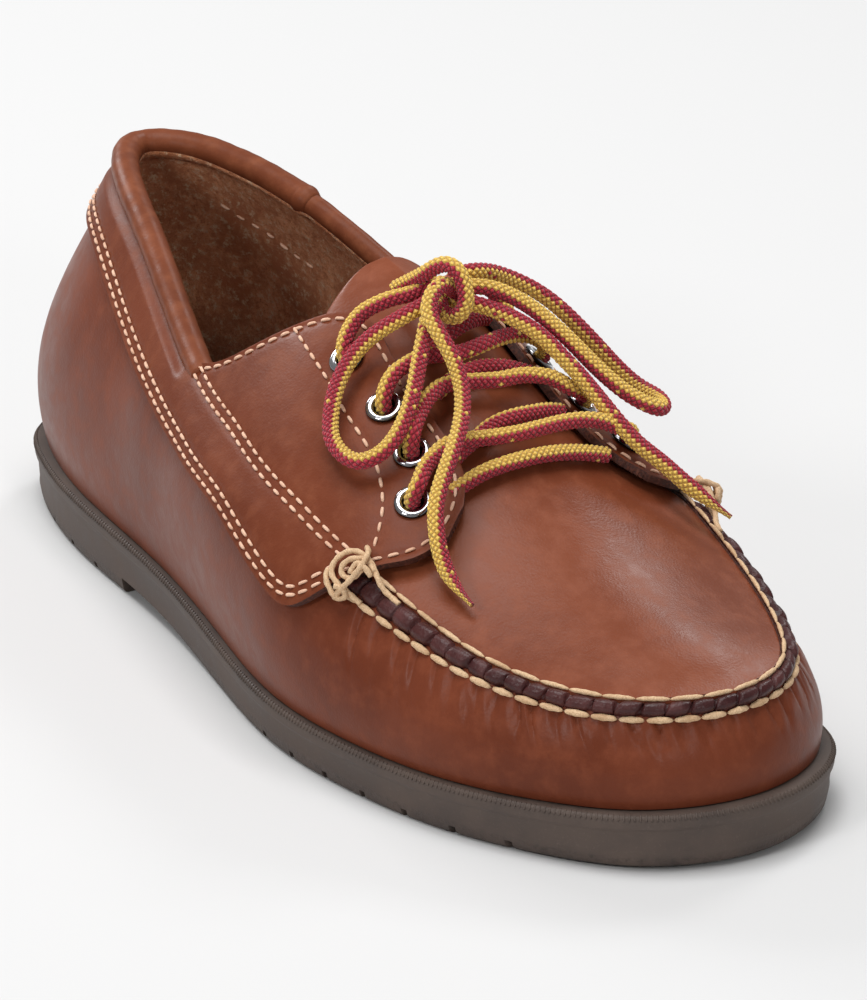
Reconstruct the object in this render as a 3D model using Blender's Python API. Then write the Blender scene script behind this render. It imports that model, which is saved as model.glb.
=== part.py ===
"""Right blucher moccasin, standing empty on its sole.

Tables are in millimetres: x runs forward from the back of the heel, y to the inner
side and z up from the floor. place() moves them to metres with x = 0 at mid length.
The form has two coordinates: round, the distance round the sole's edge in millimetres
from the back of the heel along the outer side, and rise, which is 0 at the feather line,
1 at the top of the wall (collar, then the moccasin seam) and 2 at the instep's spine.
"""
import math

import bmesh
import bpy
import numpy as np
from mathutils import Vector

MM = 0.001
LENGTH = 300.0           # outsole, heel to toe
GAP = 0.35               # between pieces that meet
WALL = 2.2               # lasted leather with its lining
OVERLAY = 1.9            # quarter leather
FLAP_LIFT = 0.6          # quarter clear of the wrap and the tongue
FRONT_LIFT = 1.4         # and more at its free front edge, between these places
LIFT_START, LIFT_END = 188.0, 214.0
QUARTER_STEP = 6.5       # between its cross lines
QUARTER_ACROSS = 9       # points on each
HEEL_TOP = 15.5          # sole's upper face at the heel
FORE_TOP = 12.0          # and at the ball
HEEL_LEVEL_END, FORE_LEVEL_START = 60.0, 200.0
TOE_SPRING_TOP = 2.5
TOE_SPRING_BOTTOM = 1.3
BREAST = 85.0            # front of the heel
ARCH_RISE = 4.0          # underside at the breast
ARCH_END = 168.0
ARCH_RUNOUT = 0.6        # depth below the floor at which the cut for the arch ends
SPRING_START = 225.0
SIDE_DRAFT = 1.6         # the sole's side wall leans in by this towards the floor
RIM_DROP, LIP_DROP, WALL_DROP = 0.8, 3.4, 4.2   # the lip round the sole's upper edge
LIP_OUT = 0.7            # and how far it stands out from the side wall
FLOOR_EDGE = 1.0         # chamfer at the floor
TREAD_WIDTH, TREAD_DEPTH = 1.8, 2.0
TREAD_PLACES = (20, 36, 52, 68, 182, 196, 210, 224, 238, 252, 266)
CUTTER_REACH = 80.0      # half width of the sole's cutters
INSOLE = 3.0
INSOLE_CLEAR = 0.8
TONGUE_ACROSS = 13       # points across the tongue
COLLAR_RADIUS = 3.5
COLLAR_STEP = 5.5
CORNER_BLEND = 4.0       # the wrap's top edge steps up this near the flaps' corners
COLLAR_END = 5.0         # the collar roll stops this far behind the flaps' corners
COLLAR_TUCK = 3.0        # the quarters end under the roll from here back
RIDGE_HEIGHT = 1.8       # puckered roll at the moccasin seam
RIDGE_LOW, RIDGE_HIGH = 0.83, 1.03
RIDGE_START, RIDGE_GROW = 8.0, 14.0      # it starts this far past the knots and grows over this
EYELET_RADIUS = 4.4
EYELET_HOLE = 2.3
EYELET_BARREL = 0.45     # wall of its barrel
EYELET_THICK = 1.0
EYELET_ROUND = 0.3       # rounding of its outer and inner edges
EYELET_LIP = 0.9         # from the hole to the top of the roll
EYELET_SIDES = 12
LACE_RADIUS = 2.0
TUBE_STEP = 4.5          # between a rod's rings, in radii

# How far each arc of a section holds the lean of its ends, as a share of its span.
FOOT_STEER, TOP_STEER = 0.36, 0.40
INSTEP_STEER, SPINE_STEER = 0.28, 0.34

# Landmarks round the shoe, with the number of steps from each to the next. There are as
# many steps along the outer side, heel to toe, as along the inner side.
HEEL, CORNER_OUTER, KNOT_OUTER, TOE = 0, 130, 232, 349
KNOT_INNER, CORNER_INNER, SEAM_INNER = 457, 563, 613
STEPS = (
    (HEEL, 14), (CORNER_OUTER, 11), (KNOT_OUTER, 13), (TOE, 12),
    (KNOT_INNER, 11), (CORNER_INNER, 6), (SEAM_INNER, 9),
)

# A row for each upright section: edge of the sole, inset of the feather line, top of the
# wall, leans in degrees of the wall's foot, of its top and of the instep above it, and
# the place on the spine that the instep's ray runs to.
SECTION_COLUMNS = "edge_x edge_y inset top_x top_y top_z foot_lean top_lean instep_lean spine_x"
SECTIONS = """
heel_back       0    4.5  3.0   18.5   9.0  88.5  12  22  22  120
heel_corner_out 6  -14.5  3.0   24.0   1.0  88.3  14  26  26  120
heel_side_out  25  -25.5  3.0   38.0  -6.0  86.7  16  30  30  125
seat_out       60  -33.5  2.5   64.0 -14.0  81.0  14  32  32  132
waist_back_out    105  -38.0   2.0  107.0  -26.5   67.5  14  46  42  143
waist_out         150  -46.0   2.0  150.0  -38.0   61.0  16  48  32  168
joint_out         190  -52.5   2.0  189.0  -42.0   55.5  18  50  39  196
ball_out          222  -50.5   2.0  216.0  -38.5   48.5  20  46  60  216
plug_side_out 250  -44.0  2.4  243.0 -34.0  41.8  20  46  72  234
toe_side_out  275  -32.0  3.0  265.0 -26.0  38.4  18  42  76  250
toe_round_out 292  -18.0  3.6  280.0 -15.0  37.5  12  38  78  258
toe           300   10.0  4.0  288.5   8.0  37.3  10  36  80  260
toe_round_in  292   30.5  3.8  282.0  25.0  38.0  10  38  78  258
toe_side_in   275   45.5  3.4  266.0  35.0  39.6  14  42  76  250
plug_side_in  250   51.0  3.0  243.0  42.0  42.6  18  46  72  234
ball_in           222   52.5   2.2  216.0   46.0   48.2  20  46  54  216
joint_in          190   45.0   2.0  189.0   47.0   53.0  24  50  48  196
waist_in          150   36.5   2.0  150.0   45.0   58.0  28  48  45  168
waist_back_in     105   36.5   2.0  107.0   41.0   66.0  22  46  42  143
seat_in        60   40.5  2.5   64.0  32.0  81.0  16  32  32  132
heel_side_in   25   37.0  3.0   38.0  24.5  86.7  16  30  30  125
heel_corner_in  6   22.0  3.0   24.0  17.5  88.3  14  26  26  120
"""

# Centre line of the instep and the plug.
SPINE_COLUMNS = "x y z"
SPINE = """
110 4.5 104.5
125 4.5 101.8
143 4.5  98.2
160 4.5  94.0
175 4.5  88.3
190 4.5  79.5
205 4.6  69.4
220 4.8  60.4
240 5.5  51.2
262 6.5  44.6
"""

# Cross lines of each quarter, from its lower edge to its upper edge, as (round, rise).
QUARTER_COLUMNS = "low_round low_rise high_round high_rise"
QUARTER_OUTER = """
 -74 0.765 -74 0.94
 -49 0.80  -49 0.94
 -20 0.82  -20 0.94
   0 0.82    0 0.94
  26 0.815  26 0.94
  50 0.81   50 0.94
  75 0.775  75 0.94
 100 0.745 100 0.95
 120 0.735 123 0.96
 134 0.735 133 1.04
 147 0.735 141 1.15
 162 0.73  148 1.31
 177 0.73  153 1.45
 190 0.695 157 1.57
 201 0.65  162 1.68
 210 0.61  171 1.73
 219 0.61  184 1.715
 226 0.71  199 1.70
 231 0.83  211 1.70
 237 0.97  221 1.69
 243 1.11  229 1.665
 246 1.26  235 1.62
 246 1.40  240 1.56
"""
QUARTER_INNER = """
 612 0.76  612 0.94
 596 0.77  596 0.945
 580 0.765 572 0.96
 566 0.75  561 1.04
 552 0.735 554 1.15
 537 0.72  547 1.31
 522 0.71  542 1.45
 508 0.69  538 1.58
 496 0.65  533 1.69
 485 0.61  522 1.745
 476 0.64  509 1.71
 469 0.74  495 1.69
 463 0.84  484 1.67
 459 0.97  474 1.645
 453 1.11  465 1.62
 449 1.26  459 1.58
 449 1.40  454 1.52
"""

# Eyelet centres on each flap, top pair first.
EYELET_COLUMNS = "outer_round outer_rise inner_round inner_rise"
EYELETS = """
179 1.57  516 1.60
199 1.57  499 1.58
216 1.54  482 1.51
231 1.39  466 1.40
"""

# Lace bars over the flaps and the throat, from the outer eyelet to the inner one: place on
# the form and height above it. The lowest bar lies under the flaps' edges.
BAR_COLUMNS = "round rise clear"
BARS = {
    "lace_bar_2": """
    199 1.570 6.4
    199 1.640 7.4
    197 1.750 6.4
    195 1.900 5.2
    502 1.900 5.2
    501 1.750 6.4
    499 1.650 7.4
    499 1.580 6.4
    """,
    "lace_bar_3": """
    216 1.540 6.9
    216 1.610 7.8
    214 1.720 6.6
    212 1.890 4.8
    485 1.890 4.8
    484 1.700 6.6
    482 1.585 7.8
    482 1.510 6.9
    """,
    "lace_bar_4": """
    231 1.390 7.6
    230 1.480 8.4
    228 1.620 7.2
    224 1.840 4.8
    472 1.840 4.8
    468 1.600 7.2
    466 1.480 8.4
    466 1.400 7.6
    """,
    "lace_bar_low": """
    231.5 1.740 2.4
    231.0 1.820 2.5
    230.6 1.920 2.6
    457.0 1.920 2.6
    458.0 1.820 2.5
    460.0 1.720 2.4
    """,
}

# Free lace, as points of its middle: from the top eyelets to the knot, the two loops of
# the bow and the two ends.
CORD_COLUMNS = "x y z"
CORDS = {
    "lace_top_outer": """
    166.2 -19.6  87.6
    166.0 -18.3  90.2
    166.6 -15.0  93.0
    169.4 -11.0  95.8
    172.6  -6.6  97.8
    174.9  -2.4  98.6
    """,
    "lace_top_inner": """
    161.6  24.4  88.5
    162.0  23.2  90.4
    163.6  20.0  93.4
    167.0  16.2  96.0
    171.0  12.0  98.0
    174.2   8.7  98.8
    """,
    "lace_loop_outer": """
    178.6  -3.4  97.2
    177.6 -11.0  95.0
    174.6 -19.0  90.0
    175.3 -27.1  83.2
    180.3 -33.4  76.4
    188.9 -35.6  71.8
    196.9 -33.2  70.4
    200.2 -26.6  73.6
    195.2 -18.4  82.4
    187.6 -10.4  90.6
    182.9  -2.4  95.6
    """,
    "lace_loop_inner": """
    178.4  10.8 100.8
    173.6  18.6  99.6
    174.6  28.0  94.6
    179.8  37.6  84.6
    185.6  45.4  74.6
    193.6  48.0  71.0
    201.6  46.0  70.6
    206.4  41.0  72.0
    203.8  35.0  76.0
    196.4  28.0  85.6
    188.4  20.6  93.6
    182.7  10.4  99.4
    """,
    "lace_end_centre": """
    184.3   1.6  95.6
    190.6  -3.2  91.4
    199.0  -7.4  84.9
    208.9 -14.3  78.3
    216.4 -22.9  70.8
    222.9 -28.4  61.6
    228.6 -29.2  53.6
    238.1 -28.0  47.9
    """,
    "lace_end_inner": """
    183.2   6.9  95.9
    188.8  14.6  93.0
    196.2  21.6  87.0
    203.4  26.6  79.6
    211.4  31.2  71.6
    219.6  38.0  61.6
    228.9  46.2  53.2
    """,
}
KNOT = (178.5, 3.5, 99.0)
KNOT_RADII = (6.2, 6.6, 6.0)

# Tongue, front to back: the spine places its rows run to and their half width as a share
# of the ray.
TONGUE_COLUMNS = "spine_x half_share"
TONGUE = """
209.9 0.60
202 0.60
195 0.60
185 0.60
176 0.59
168 0.56
161 0.49
156 0.42
152 0.33
149 0.24
147 0.15
146 0.06
"""


def table(columns, text):
    """Rows of a table with named columns; a leading name on a row is left out."""
    width = len(columns.split())
    rows = [line.split()[-width:] for line in text.strip().splitlines()]
    return np.array([[float(cell) for cell in row] for row in rows])


class Spline:
    """Smooth curve through rows of values at given knots, closed or open."""

    def __init__(self, knots, values, closed=False):
        self.knots = np.asarray(knots, float)
        self.closed = closed
        values = np.asarray(values, float)
        self.values = np.vstack([values, values[:1]]) if closed else values
        self.slopes = self._slopes()

    def _slopes(self):
        values, step = self.values, np.diff(self.knots)
        count = len(values)
        left = np.zeros((count, count))
        right = np.zeros_like(values)
        for i in range(1, count - 1):
            before, after = step[i - 1], step[i]
            left[i, i - 1 : i + 2] = after, 2 * (before + after), before
            right[i] = 3 * (
                after * (values[i] - values[i - 1]) / before
                + before * (values[i + 1] - values[i]) / after
            )
        first, last = step[0], step[-1]
        if self.closed:
            left[0, [0, 1, count - 2]] = 2 * (first + last), last, first
            right[0] = 3 * (
                first * (values[0] - values[-2]) / last
                + last * (values[1] - values[0]) / first
            )
            left[-1, [0, -1]] = 1, -1
        else:
            left[0, :2] = 2, 1
            right[0] = 3 * (values[1] - values[0]) / first
            left[-1, -2:] = 1, 2
            right[-1] = 3 * (values[-1] - values[-2]) / last
        return np.linalg.solve(left, right)

    def __call__(self, at):
        at = np.asarray(at, float)
        if self.closed:
            at = np.mod(at, self.knots[-1])
        i = np.clip(np.searchsorted(self.knots, at, side="right") - 1, 0, len(self.knots) - 2)
        step = (self.knots[i + 1] - self.knots[i])[..., None]
        t = (at - self.knots[i])[..., None] / step
        return (
            (1 + 2 * t) * (1 - t) ** 2 * self.values[i]
            + t * (1 - t) ** 2 * step * self.slopes[i]
            + t * t * (3 - 2 * t) * self.values[i + 1]
            + t * t * (t - 1) * step * self.slopes[i + 1]
        )


def chord_knots(points):
    """Running length along a row of points."""
    return np.r_[0, np.cumsum(np.linalg.norm(np.diff(points, axis=0), axis=1))]


SECTION_VALUES = table(SECTION_COLUMNS, SECTIONS)
COLUMN = {name: i for i, name in enumerate(SECTION_COLUMNS.split())}
ROUND_KNOTS = chord_knots(np.vstack([SECTION_VALUES[:, :2], SECTION_VALUES[:1, :2]]))
AROUND = ROUND_KNOTS[-1]
SECTION = Spline(ROUND_KNOTS, SECTION_VALUES, closed=True)
SPINE_VALUES = table(SPINE_COLUMNS, SPINE)
SPINE_LINE = Spline(SPINE_VALUES[:, 0], SPINE_VALUES)


def unit(vectors):
    return vectors / np.linalg.norm(vectors, axis=-1, keepdims=True)


def smooth(t):
    t = np.clip(t, 0, 1)
    return t * t * (3 - 2 * t)


def place(points):
    """Table millimetres to metres in the shoe's own frame."""
    return (np.asarray(points, float) - [LENGTH / 2, 0, 0]) * MM


def sole_top(x):
    fall = smooth((x - HEEL_LEVEL_END) / (FORE_LEVEL_START - HEEL_LEVEL_END))
    spring = np.clip((x - SPRING_START) / (LENGTH - SPRING_START), 0, 2) ** 2
    return HEEL_TOP + (FORE_TOP - HEEL_TOP) * fall + TOE_SPRING_TOP * spring


def sole_bottom(x):
    spring = np.clip((x - SPRING_START) / (LENGTH - SPRING_START), 0, 2) ** 2
    return TOE_SPRING_BOTTOM * spring


def outward(at):
    """Level normal of the sole's edge."""
    step = SECTION(np.asarray(at) + 1)[..., :2] - SECTION(np.asarray(at) - 1)[..., :2]
    return unit(np.stack([step[..., 1], -step[..., 0], 0 * step[..., 0]], -1))


def edge(at, inset=0.0):
    """Point of the sole's edge in plan, moved in by a distance."""
    points = np.zeros(np.shape(at) + (3,))
    points[..., :2] = SECTION(at)[..., :2]
    return points - outward(at) * inset


def arc(a, b, c, d, t):
    """Cubic arc through its two ends a and d, steered by b and c."""
    return a * (1 - t) ** 3 + 3 * b * t * (1 - t) ** 2 + 3 * c * t * t * (1 - t) + d * t**3


def skin(at, rise):
    """Outer face of the lasted form."""
    at, rise = np.broadcast_arrays(np.asarray(at, float), np.asarray(rise, float))
    row = SECTION(at)
    out = outward(at)
    up = np.array([0, 0, 1.0])
    foot = edge(at, row[..., COLUMN["inset"], None])
    foot[..., 2] = sole_top(foot[..., 0]) + GAP
    top = row[..., COLUMN["top_x"] : COLUMN["top_z"] + 1]
    foot_lean, top_lean, instep_lean = (
        np.radians(row[..., COLUMN[name], None])
        for name in ("foot_lean", "top_lean", "instep_lean")
    )
    height = np.linalg.norm(top - foot, axis=-1, keepdims=True)
    low = foot + FOOT_STEER * height * (out * np.sin(foot_lean) + up * np.cos(foot_lean))
    high = top + TOP_STEER * height * (out * np.sin(top_lean) - up * np.cos(top_lean))
    spine = SPINE_LINE(row[..., COLUMN["spine_x"]])
    reach = np.linalg.norm(spine - top, axis=-1, keepdims=True)
    level = unit((spine - top) * [1, 1, 0])
    start = top + INSTEP_STEER * reach * (up * np.cos(instep_lean) - out * np.sin(instep_lean))
    end = spine - SPINE_STEER * reach * level
    t = rise[..., None]
    wall = arc(foot, low, high, top, np.clip(t, 0, 1))
    instep = arc(top, start, end, spine, np.clip(t - 1, 0, 1))
    return np.where(t <= 1, wall, instep)


def skin_normal(at, rise):
    """Outward normal of the form."""
    at, rise = np.broadcast_arrays(np.asarray(at, float), np.asarray(rise, float))
    step = 0.02
    along = skin(at + 1, rise) - skin(at - 1, rise)
    over = skin(at, np.clip(rise + step, 0, 2)) - skin(at, np.clip(rise - step, 0, 2))
    return unit(np.cross(along, over))


def off_skin(at, rise, distance):
    """Point clear of the form by a distance."""
    return skin(at, rise) + skin_normal(at, rise) * np.asarray(distance, float)[..., None]


def material(name, hex_colour, roughness, metallic=0.0):
    made = bpy.data.materials.new(name)
    made.use_nodes = True
    shader = made.node_tree.nodes["Principled BSDF"]
    channels = [int(hex_colour[i : i + 2], 16) / 255 for i in (0, 2, 4)]
    linear = [c / 12.92 if c <= 0.04045 else ((c + 0.055) / 1.055) ** 2.4 for c in channels]
    shader.inputs["Base Color"].default_value = (*linear, 1)
    shader.inputs["Roughness"].default_value = roughness
    shader.inputs["Metallic"].default_value = metallic
    return made


def add_object(name, bm, finish):
    """A finished mesh as a named object with its material."""
    mesh = bpy.data.meshes.new(name)
    bm.to_mesh(mesh)
    bm.free()
    mesh.shade_smooth()
    mesh.set_sharp_from_angle(angle=math.radians(40))
    made = bpy.data.objects.new(name, mesh)
    mesh.materials.append(finish)
    bpy.context.scene.collection.objects.link(made)
    return made


def sheet(rows, closed=False):
    """Quads between rows of points; coincident points are merged."""
    bm = bmesh.new()
    grid = [[bm.verts.new(place(point)) for point in row] for row in rows]
    for upper, lower in zip(grid, grid[1:]):
        count = len(upper)
        for i in range(count if closed else count - 1):
            j = (i + 1) % count
            bm.faces.new((upper[i], upper[j], lower[j], lower[i]))
    bmesh.ops.remove_doubles(bm, verts=bm.verts, dist=1e-5)
    bm.normal_update()
    return bm


def face_outwards(bm):
    bmesh.ops.recalc_face_normals(bm, faces=bm.faces)
    return bm


def thicken(piece, thickness, offset):
    modifier = piece.modifiers.new("wall", "SOLIDIFY")
    modifier.thickness = thickness * MM
    modifier.offset = offset
    modifier.use_even_offset = True
    return piece


def cutter_material():
    return bpy.data.materials.get("cutter") or material("cutter", "808080", 0.5)


def helper(piece):
    """Hides a cutter from the render."""
    piece.hide_render = True
    piece.display_type = "WIRE"
    return piece


def cut(piece, cutter):
    modifier = piece.modifiers.new("cut " + cutter.name, "BOOLEAN")
    modifier.operation = "DIFFERENCE"
    modifier.solver = "EXACT"
    modifier.object = cutter
    return piece


def round_stations():
    """Stations round the shoe with every landmark among them."""
    ends = [start for start, _ in STEPS[1:]] + [AROUND]
    runs = [
        np.linspace(start, end, steps, endpoint=False)
        for (start, steps), end in zip(STEPS, ends)
    ]
    return np.concatenate(runs)


STATIONS = round_stations()


def behind_corner(at):
    """Distance round the shoe behind the nearer of the two flap corners."""
    at = np.mod(at, AROUND)
    return np.maximum(CORNER_OUTER - at, at - CORNER_INNER)


def under_roll(at):
    """Rise at which leather ends just below the collar roll."""
    clear = COLLAR_RADIUS + 3 * GAP
    height = np.linalg.norm(skin(at, 1.0) - skin(at, 0.0), axis=-1)
    return 1 - clear / (3 * TOP_STEER * height)


def wall_top(at):
    """Top edge of the wrap: below the roll at the collar, full height under the flaps."""
    share = smooth(behind_corner(at) / (2 * CORNER_BLEND) + 0.5)
    return 1 + (under_roll(at) - 1) * share


def ridge(at, rise):
    """Height of the seam's roll, fading out behind the knots."""
    inside = np.minimum(at - KNOT_OUTER, KNOT_INNER - at)
    middle = (rise - RIDGE_LOW) / (RIDGE_HIGH - RIDGE_LOW)
    hump = np.clip(4 * middle * (1 - middle), 0, 1)
    return RIDGE_HEIGHT * smooth((inside - RIDGE_START) / RIDGE_GROW) * hump


def upper_point(at, rise):
    return off_skin(at, rise, ridge(at, rise))


def make_upper(leather):
    """Wrap and plug in one: a wall round the foot, closed over the toes as far as the knots."""
    wall_rises = [0, 0.16, 0.33, 0.5, 0.67, RIDGE_LOW, 0.93, 1.0]
    rows = [upper_point(STATIONS, rise * wall_top(STATIONS)) for rise in wall_rises]
    bm = sheet(rows, closed=True)
    over_toes = STATIONS[(STATIONS >= KNOT_OUTER) & (STATIONS <= KNOT_INNER)]
    plug_rises = [1.0, RIDGE_HIGH, 1.25, 1.5, 1.75, 2.0]
    plug = sheet([upper_point(over_toes, rise) for rise in plug_rises])
    join = bpy.data.meshes.new("plug")
    plug.to_mesh(join)
    plug.free()
    bm.from_mesh(join)
    bpy.data.meshes.remove(join)
    bmesh.ops.remove_doubles(bm, verts=bm.verts, dist=1e-5)
    face_outwards(bm)
    return thicken(add_object("upper", bm, leather), WALL, -1)


def ring_solid(rings):
    """Closed solid between rings round the shoe; its ends are strips from side to side."""
    bm = bmesh.new()
    grid = [[bm.verts.new(place(point)) for point in ring] for ring in rings]
    count = len(grid[0])
    for low, high in zip(grid, grid[1:]):
        for i in range(count):
            bm.faces.new((low[i], low[i - 1], high[i - 1], high[i]))
    for ring in (grid[0], grid[-1]):
        for i in range(count // 2):
            across = [ring[i], ring[i + 1], ring[count - i - 1], ring[-i]]
            bm.faces.new(dict.fromkeys(across))
    bmesh.ops.recalc_face_normals(bm, faces=bm.faces)
    return bm


def level_ring(inset, height, drop=0.0):
    """Ring inside the sole's edge at a height that follows the shoe's length."""
    points = edge(STATIONS, inset)
    points[:, 2] = height(points[:, 0]) + drop
    return points


def make_outsole(rubber):
    """Sole unit with a drafted side wall, heel breast, arch and toe spring."""
    rings = [
        level_ring(RIM_DROP, sole_top),
        level_ring(0.0, sole_top, -RIM_DROP),
        level_ring(0.0, sole_top, -LIP_DROP),
        level_ring(LIP_OUT, sole_top, -WALL_DROP),
        level_ring(SIDE_DRAFT, sole_bottom, FLOOR_EDGE),
        level_ring(SIDE_DRAFT + FLOOR_EDGE, sole_bottom),
    ]
    sole = add_object("outsole", ring_solid(rings), rubber)
    cut(sole, make_arch_cutter())
    cut(sole, make_tread_cutter())
    return sole


def make_arch_cutter():
    """Space under the arch, from the heel breast to where the forepart meets the floor."""
    along = np.linspace(0, 1, 9)[:-1]
    x = BREAST + (ARCH_END - BREAST) * along
    roof = ARCH_RISE * (1 - smooth(along))
    past = ARCH_END + ARCH_RISE
    side = [(x[0], -ARCH_RISE), *zip(x, roof), (past, -ARCH_RUNOUT), (past, -ARCH_RISE)]
    bm = bmesh.new()
    near = [bm.verts.new(place((px, -CUTTER_REACH, pz))) for px, pz in side]
    moved = bmesh.ops.extrude_face_region(bm, geom=[bm.faces.new(near)])
    verts = [v for v in moved["geom"] if isinstance(v, bmesh.types.BMVert)]
    bmesh.ops.translate(bm, verts=verts, vec=Vector((0, 2 * CUTTER_REACH * MM, 0)))
    return helper(add_object("arch_cutter", face_outwards(bm), cutter_material()))


def make_tread_cutter():
    """Shallow cross grooves under the heel and the forepart."""
    bm = bmesh.new()
    size = Vector((TREAD_WIDTH, 2 * CUTTER_REACH, 2 * TREAD_DEPTH)) * MM
    for x in TREAD_PLACES:
        made = bmesh.ops.create_cube(bm, size=1)["verts"]
        bmesh.ops.scale(bm, verts=made, vec=size)
        centre = place((x, 0, sole_bottom(np.array(float(x)))))
        bmesh.ops.translate(bm, verts=made, vec=Vector(centre))
    return helper(add_object("tread_cutter", bm, cutter_material()))


def make_insole(leather):
    """Flat insole inside the wall."""
    inset = SECTION(STATIONS)[:, COLUMN["inset"], None] + WALL + INSOLE_CLEAR
    rings = [level_ring(inset, sole_top, GAP), level_ring(inset, sole_top, GAP + INSOLE)]
    return add_object("insole", ring_solid(rings), leather)


def ray_station(spine_x, inner):
    """Station round the shoe whose instep ray ends at a place on the spine."""
    ends = (KNOT_INNER - 20, CORNER_INNER) if inner else (CORNER_OUTER - 12, KNOT_OUTER + 20)
    side = np.linspace(*ends, 400)
    reached = SECTION(side)[:, COLUMN["spine_x"]]
    order = np.argsort(reached)
    return float(np.interp(spine_x, reached[order], side[order]))


def make_tongue(leather):
    """Tongue under the flaps, its rounded end showing behind them."""
    shares = np.linspace(-1, 1, TONGUE_ACROSS)
    left, right = shares[shares <= 0], shares[shares > 0]
    rows = []
    for spine_x, half in table(TONGUE_COLUMNS, TONGUE):
        outer = off_skin(ray_station(spine_x, False), 2 + half * left, -GAP)
        inner = off_skin(ray_station(spine_x, True), 2 - half * right, -GAP)
        rows.append(np.vstack([outer, inner]))
    return thicken(add_object("tongue", sheet(rows), leather), WALL, -1)


def flap_lift(at, rise):
    """How far a quarter's inner face stands off the form."""
    x = skin(at, rise)[..., 0]
    return FLAP_LIFT + FRONT_LIFT * smooth((x - LIFT_START) / (LIFT_END - LIFT_START))


def make_quarter(name, lines, leather):
    """Quarter with its eyelet flap, laid over the wrap and the tongue."""
    ends = table(QUARTER_COLUMNS, lines)
    middle = (skin(ends[:, 0], ends[:, 1]) + skin(ends[:, 2], ends[:, 3])) / 2
    run = chord_knots(middle)
    line = Spline(run, ends)(np.linspace(0, run[-1], round(run[-1] / QUARTER_STEP)))
    under = (behind_corner(line[:, 2]) > COLLAR_TUCK) & (line[:, 3] < 1)
    line[under, 3] = under_roll(line[under, 2])
    rows = []
    for share in np.linspace(0, 1, QUARTER_ACROSS):
        at = line[:, 0] + (line[:, 2] - line[:, 0]) * share
        rise = line[:, 1] + (line[:, 3] - line[:, 1]) * share
        rows.append(off_skin(at, rise, flap_lift(at, rise)))
    bm = sheet(rows)
    if sum(face.normal.z for face in bm.faces) < 0:
        bmesh.ops.reverse_faces(bm, faces=bm.faces)
    return thicken(add_object(name, bm, leather), OVERLAY, 1)


def tube(name, points, radius, finish):
    """Round rod along a smooth line through its points, closed at both ends."""
    run = chord_knots(points)
    count = max(4, round(run[-1] / (TUBE_STEP * radius)))
    curve = bpy.data.curves.new(name, "CURVE")
    curve.dimensions = "3D"
    curve.bevel_depth = radius * MM
    curve.bevel_resolution = 2
    curve.use_fill_caps = True
    line = curve.splines.new("POLY")
    line.points.add(count)
    for point, where in zip(line.points, Spline(run, points)(np.linspace(0, run[-1], count + 1))):
        point.co = (*place(where), 1)
        point.radius = 1
    curve.materials.append(finish)
    made = bpy.data.objects.new(name, curve)
    bpy.context.scene.collection.objects.link(made)
    weld = made.modifiers.new("closed caps", "WELD")
    weld.merge_threshold = 1e-5
    return made


def collar_line(start, end):
    """Centre of the collar roll between two stations."""
    return skin(np.linspace(start, end, round((end - start) / COLLAR_STEP)), 1.0)


def make_knot(cord):
    """Rounded body of the bow's knot."""
    bm = bmesh.new()
    made = bmesh.ops.create_icosphere(bm, subdivisions=2, radius=1)["verts"]
    bmesh.ops.scale(bm, verts=made, vec=Vector(KNOT_RADII) * MM)
    bmesh.ops.translate(bm, verts=made, vec=Vector(place(KNOT)))
    return add_object("lace_knot", bm, cord)


def eyelet_frame(at, rise, height):
    """Place of an eyelet at a height above the flap's inner face, and its turn."""
    centre = off_skin(at, rise, flap_lift(at, rise) + height)
    turned = Vector(skin_normal(at, rise)).to_track_quat("Z", "Y").to_matrix()
    return Vector(place(centre)), turned


def make_eyelet(name, at, rise, metal):
    """Rolled metal ring through a flap."""
    centre, turned = eyelet_frame(at, rise, OVERLAY)
    hole, barrel, flange = EYELET_HOLE, EYELET_HOLE + EYELET_BARREL, EYELET_RADIUS
    top = GAP + EYELET_THICK
    profile = [
        (hole, -OVERLAY), (barrel, -OVERLAY), (barrel, GAP), (flange, GAP),
        (flange - EYELET_ROUND, top - EYELET_ROUND), (hole + EYELET_LIP, top), (hole, top - EYELET_ROUND),
    ]
    bm = bmesh.new()
    grid = []
    for turn in np.linspace(0, 2 * math.pi, EYELET_SIDES, endpoint=False):
        spots = (Vector((r * math.cos(turn), r * math.sin(turn), z)) for r, z in profile)
        grid.append([bm.verts.new(centre + turned @ spot * MM) for spot in spots])
    for i in range(EYELET_SIDES):
        for j in range(len(profile)):
            k, m = (i + 1) % EYELET_SIDES, (j + 1) % len(profile)
            bm.faces.new((grid[i][j], grid[i][m], grid[k][m], grid[k][j]))
    return add_object(name, face_outwards(bm), metal)


def make_eyelet_cutter(name, places):
    """Holes for one flap's eyelets."""
    bm = bmesh.new()
    radius = EYELET_HOLE + EYELET_BARREL + GAP
    for at, rise in places:
        centre, turned = eyelet_frame(at, rise, OVERLAY / 2)
        made = bmesh.ops.create_cone(
            bm, segments=EYELET_SIDES, cap_ends=True, depth=4 * OVERLAY * MM,
            radius1=radius * MM, radius2=radius * MM,
        )["verts"]
        bmesh.ops.transform(bm, verts=made, matrix=turned.to_4x4())
        bmesh.ops.translate(bm, verts=made, vec=centre)
    return helper(add_object(name, bm, cutter_material()))


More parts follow.
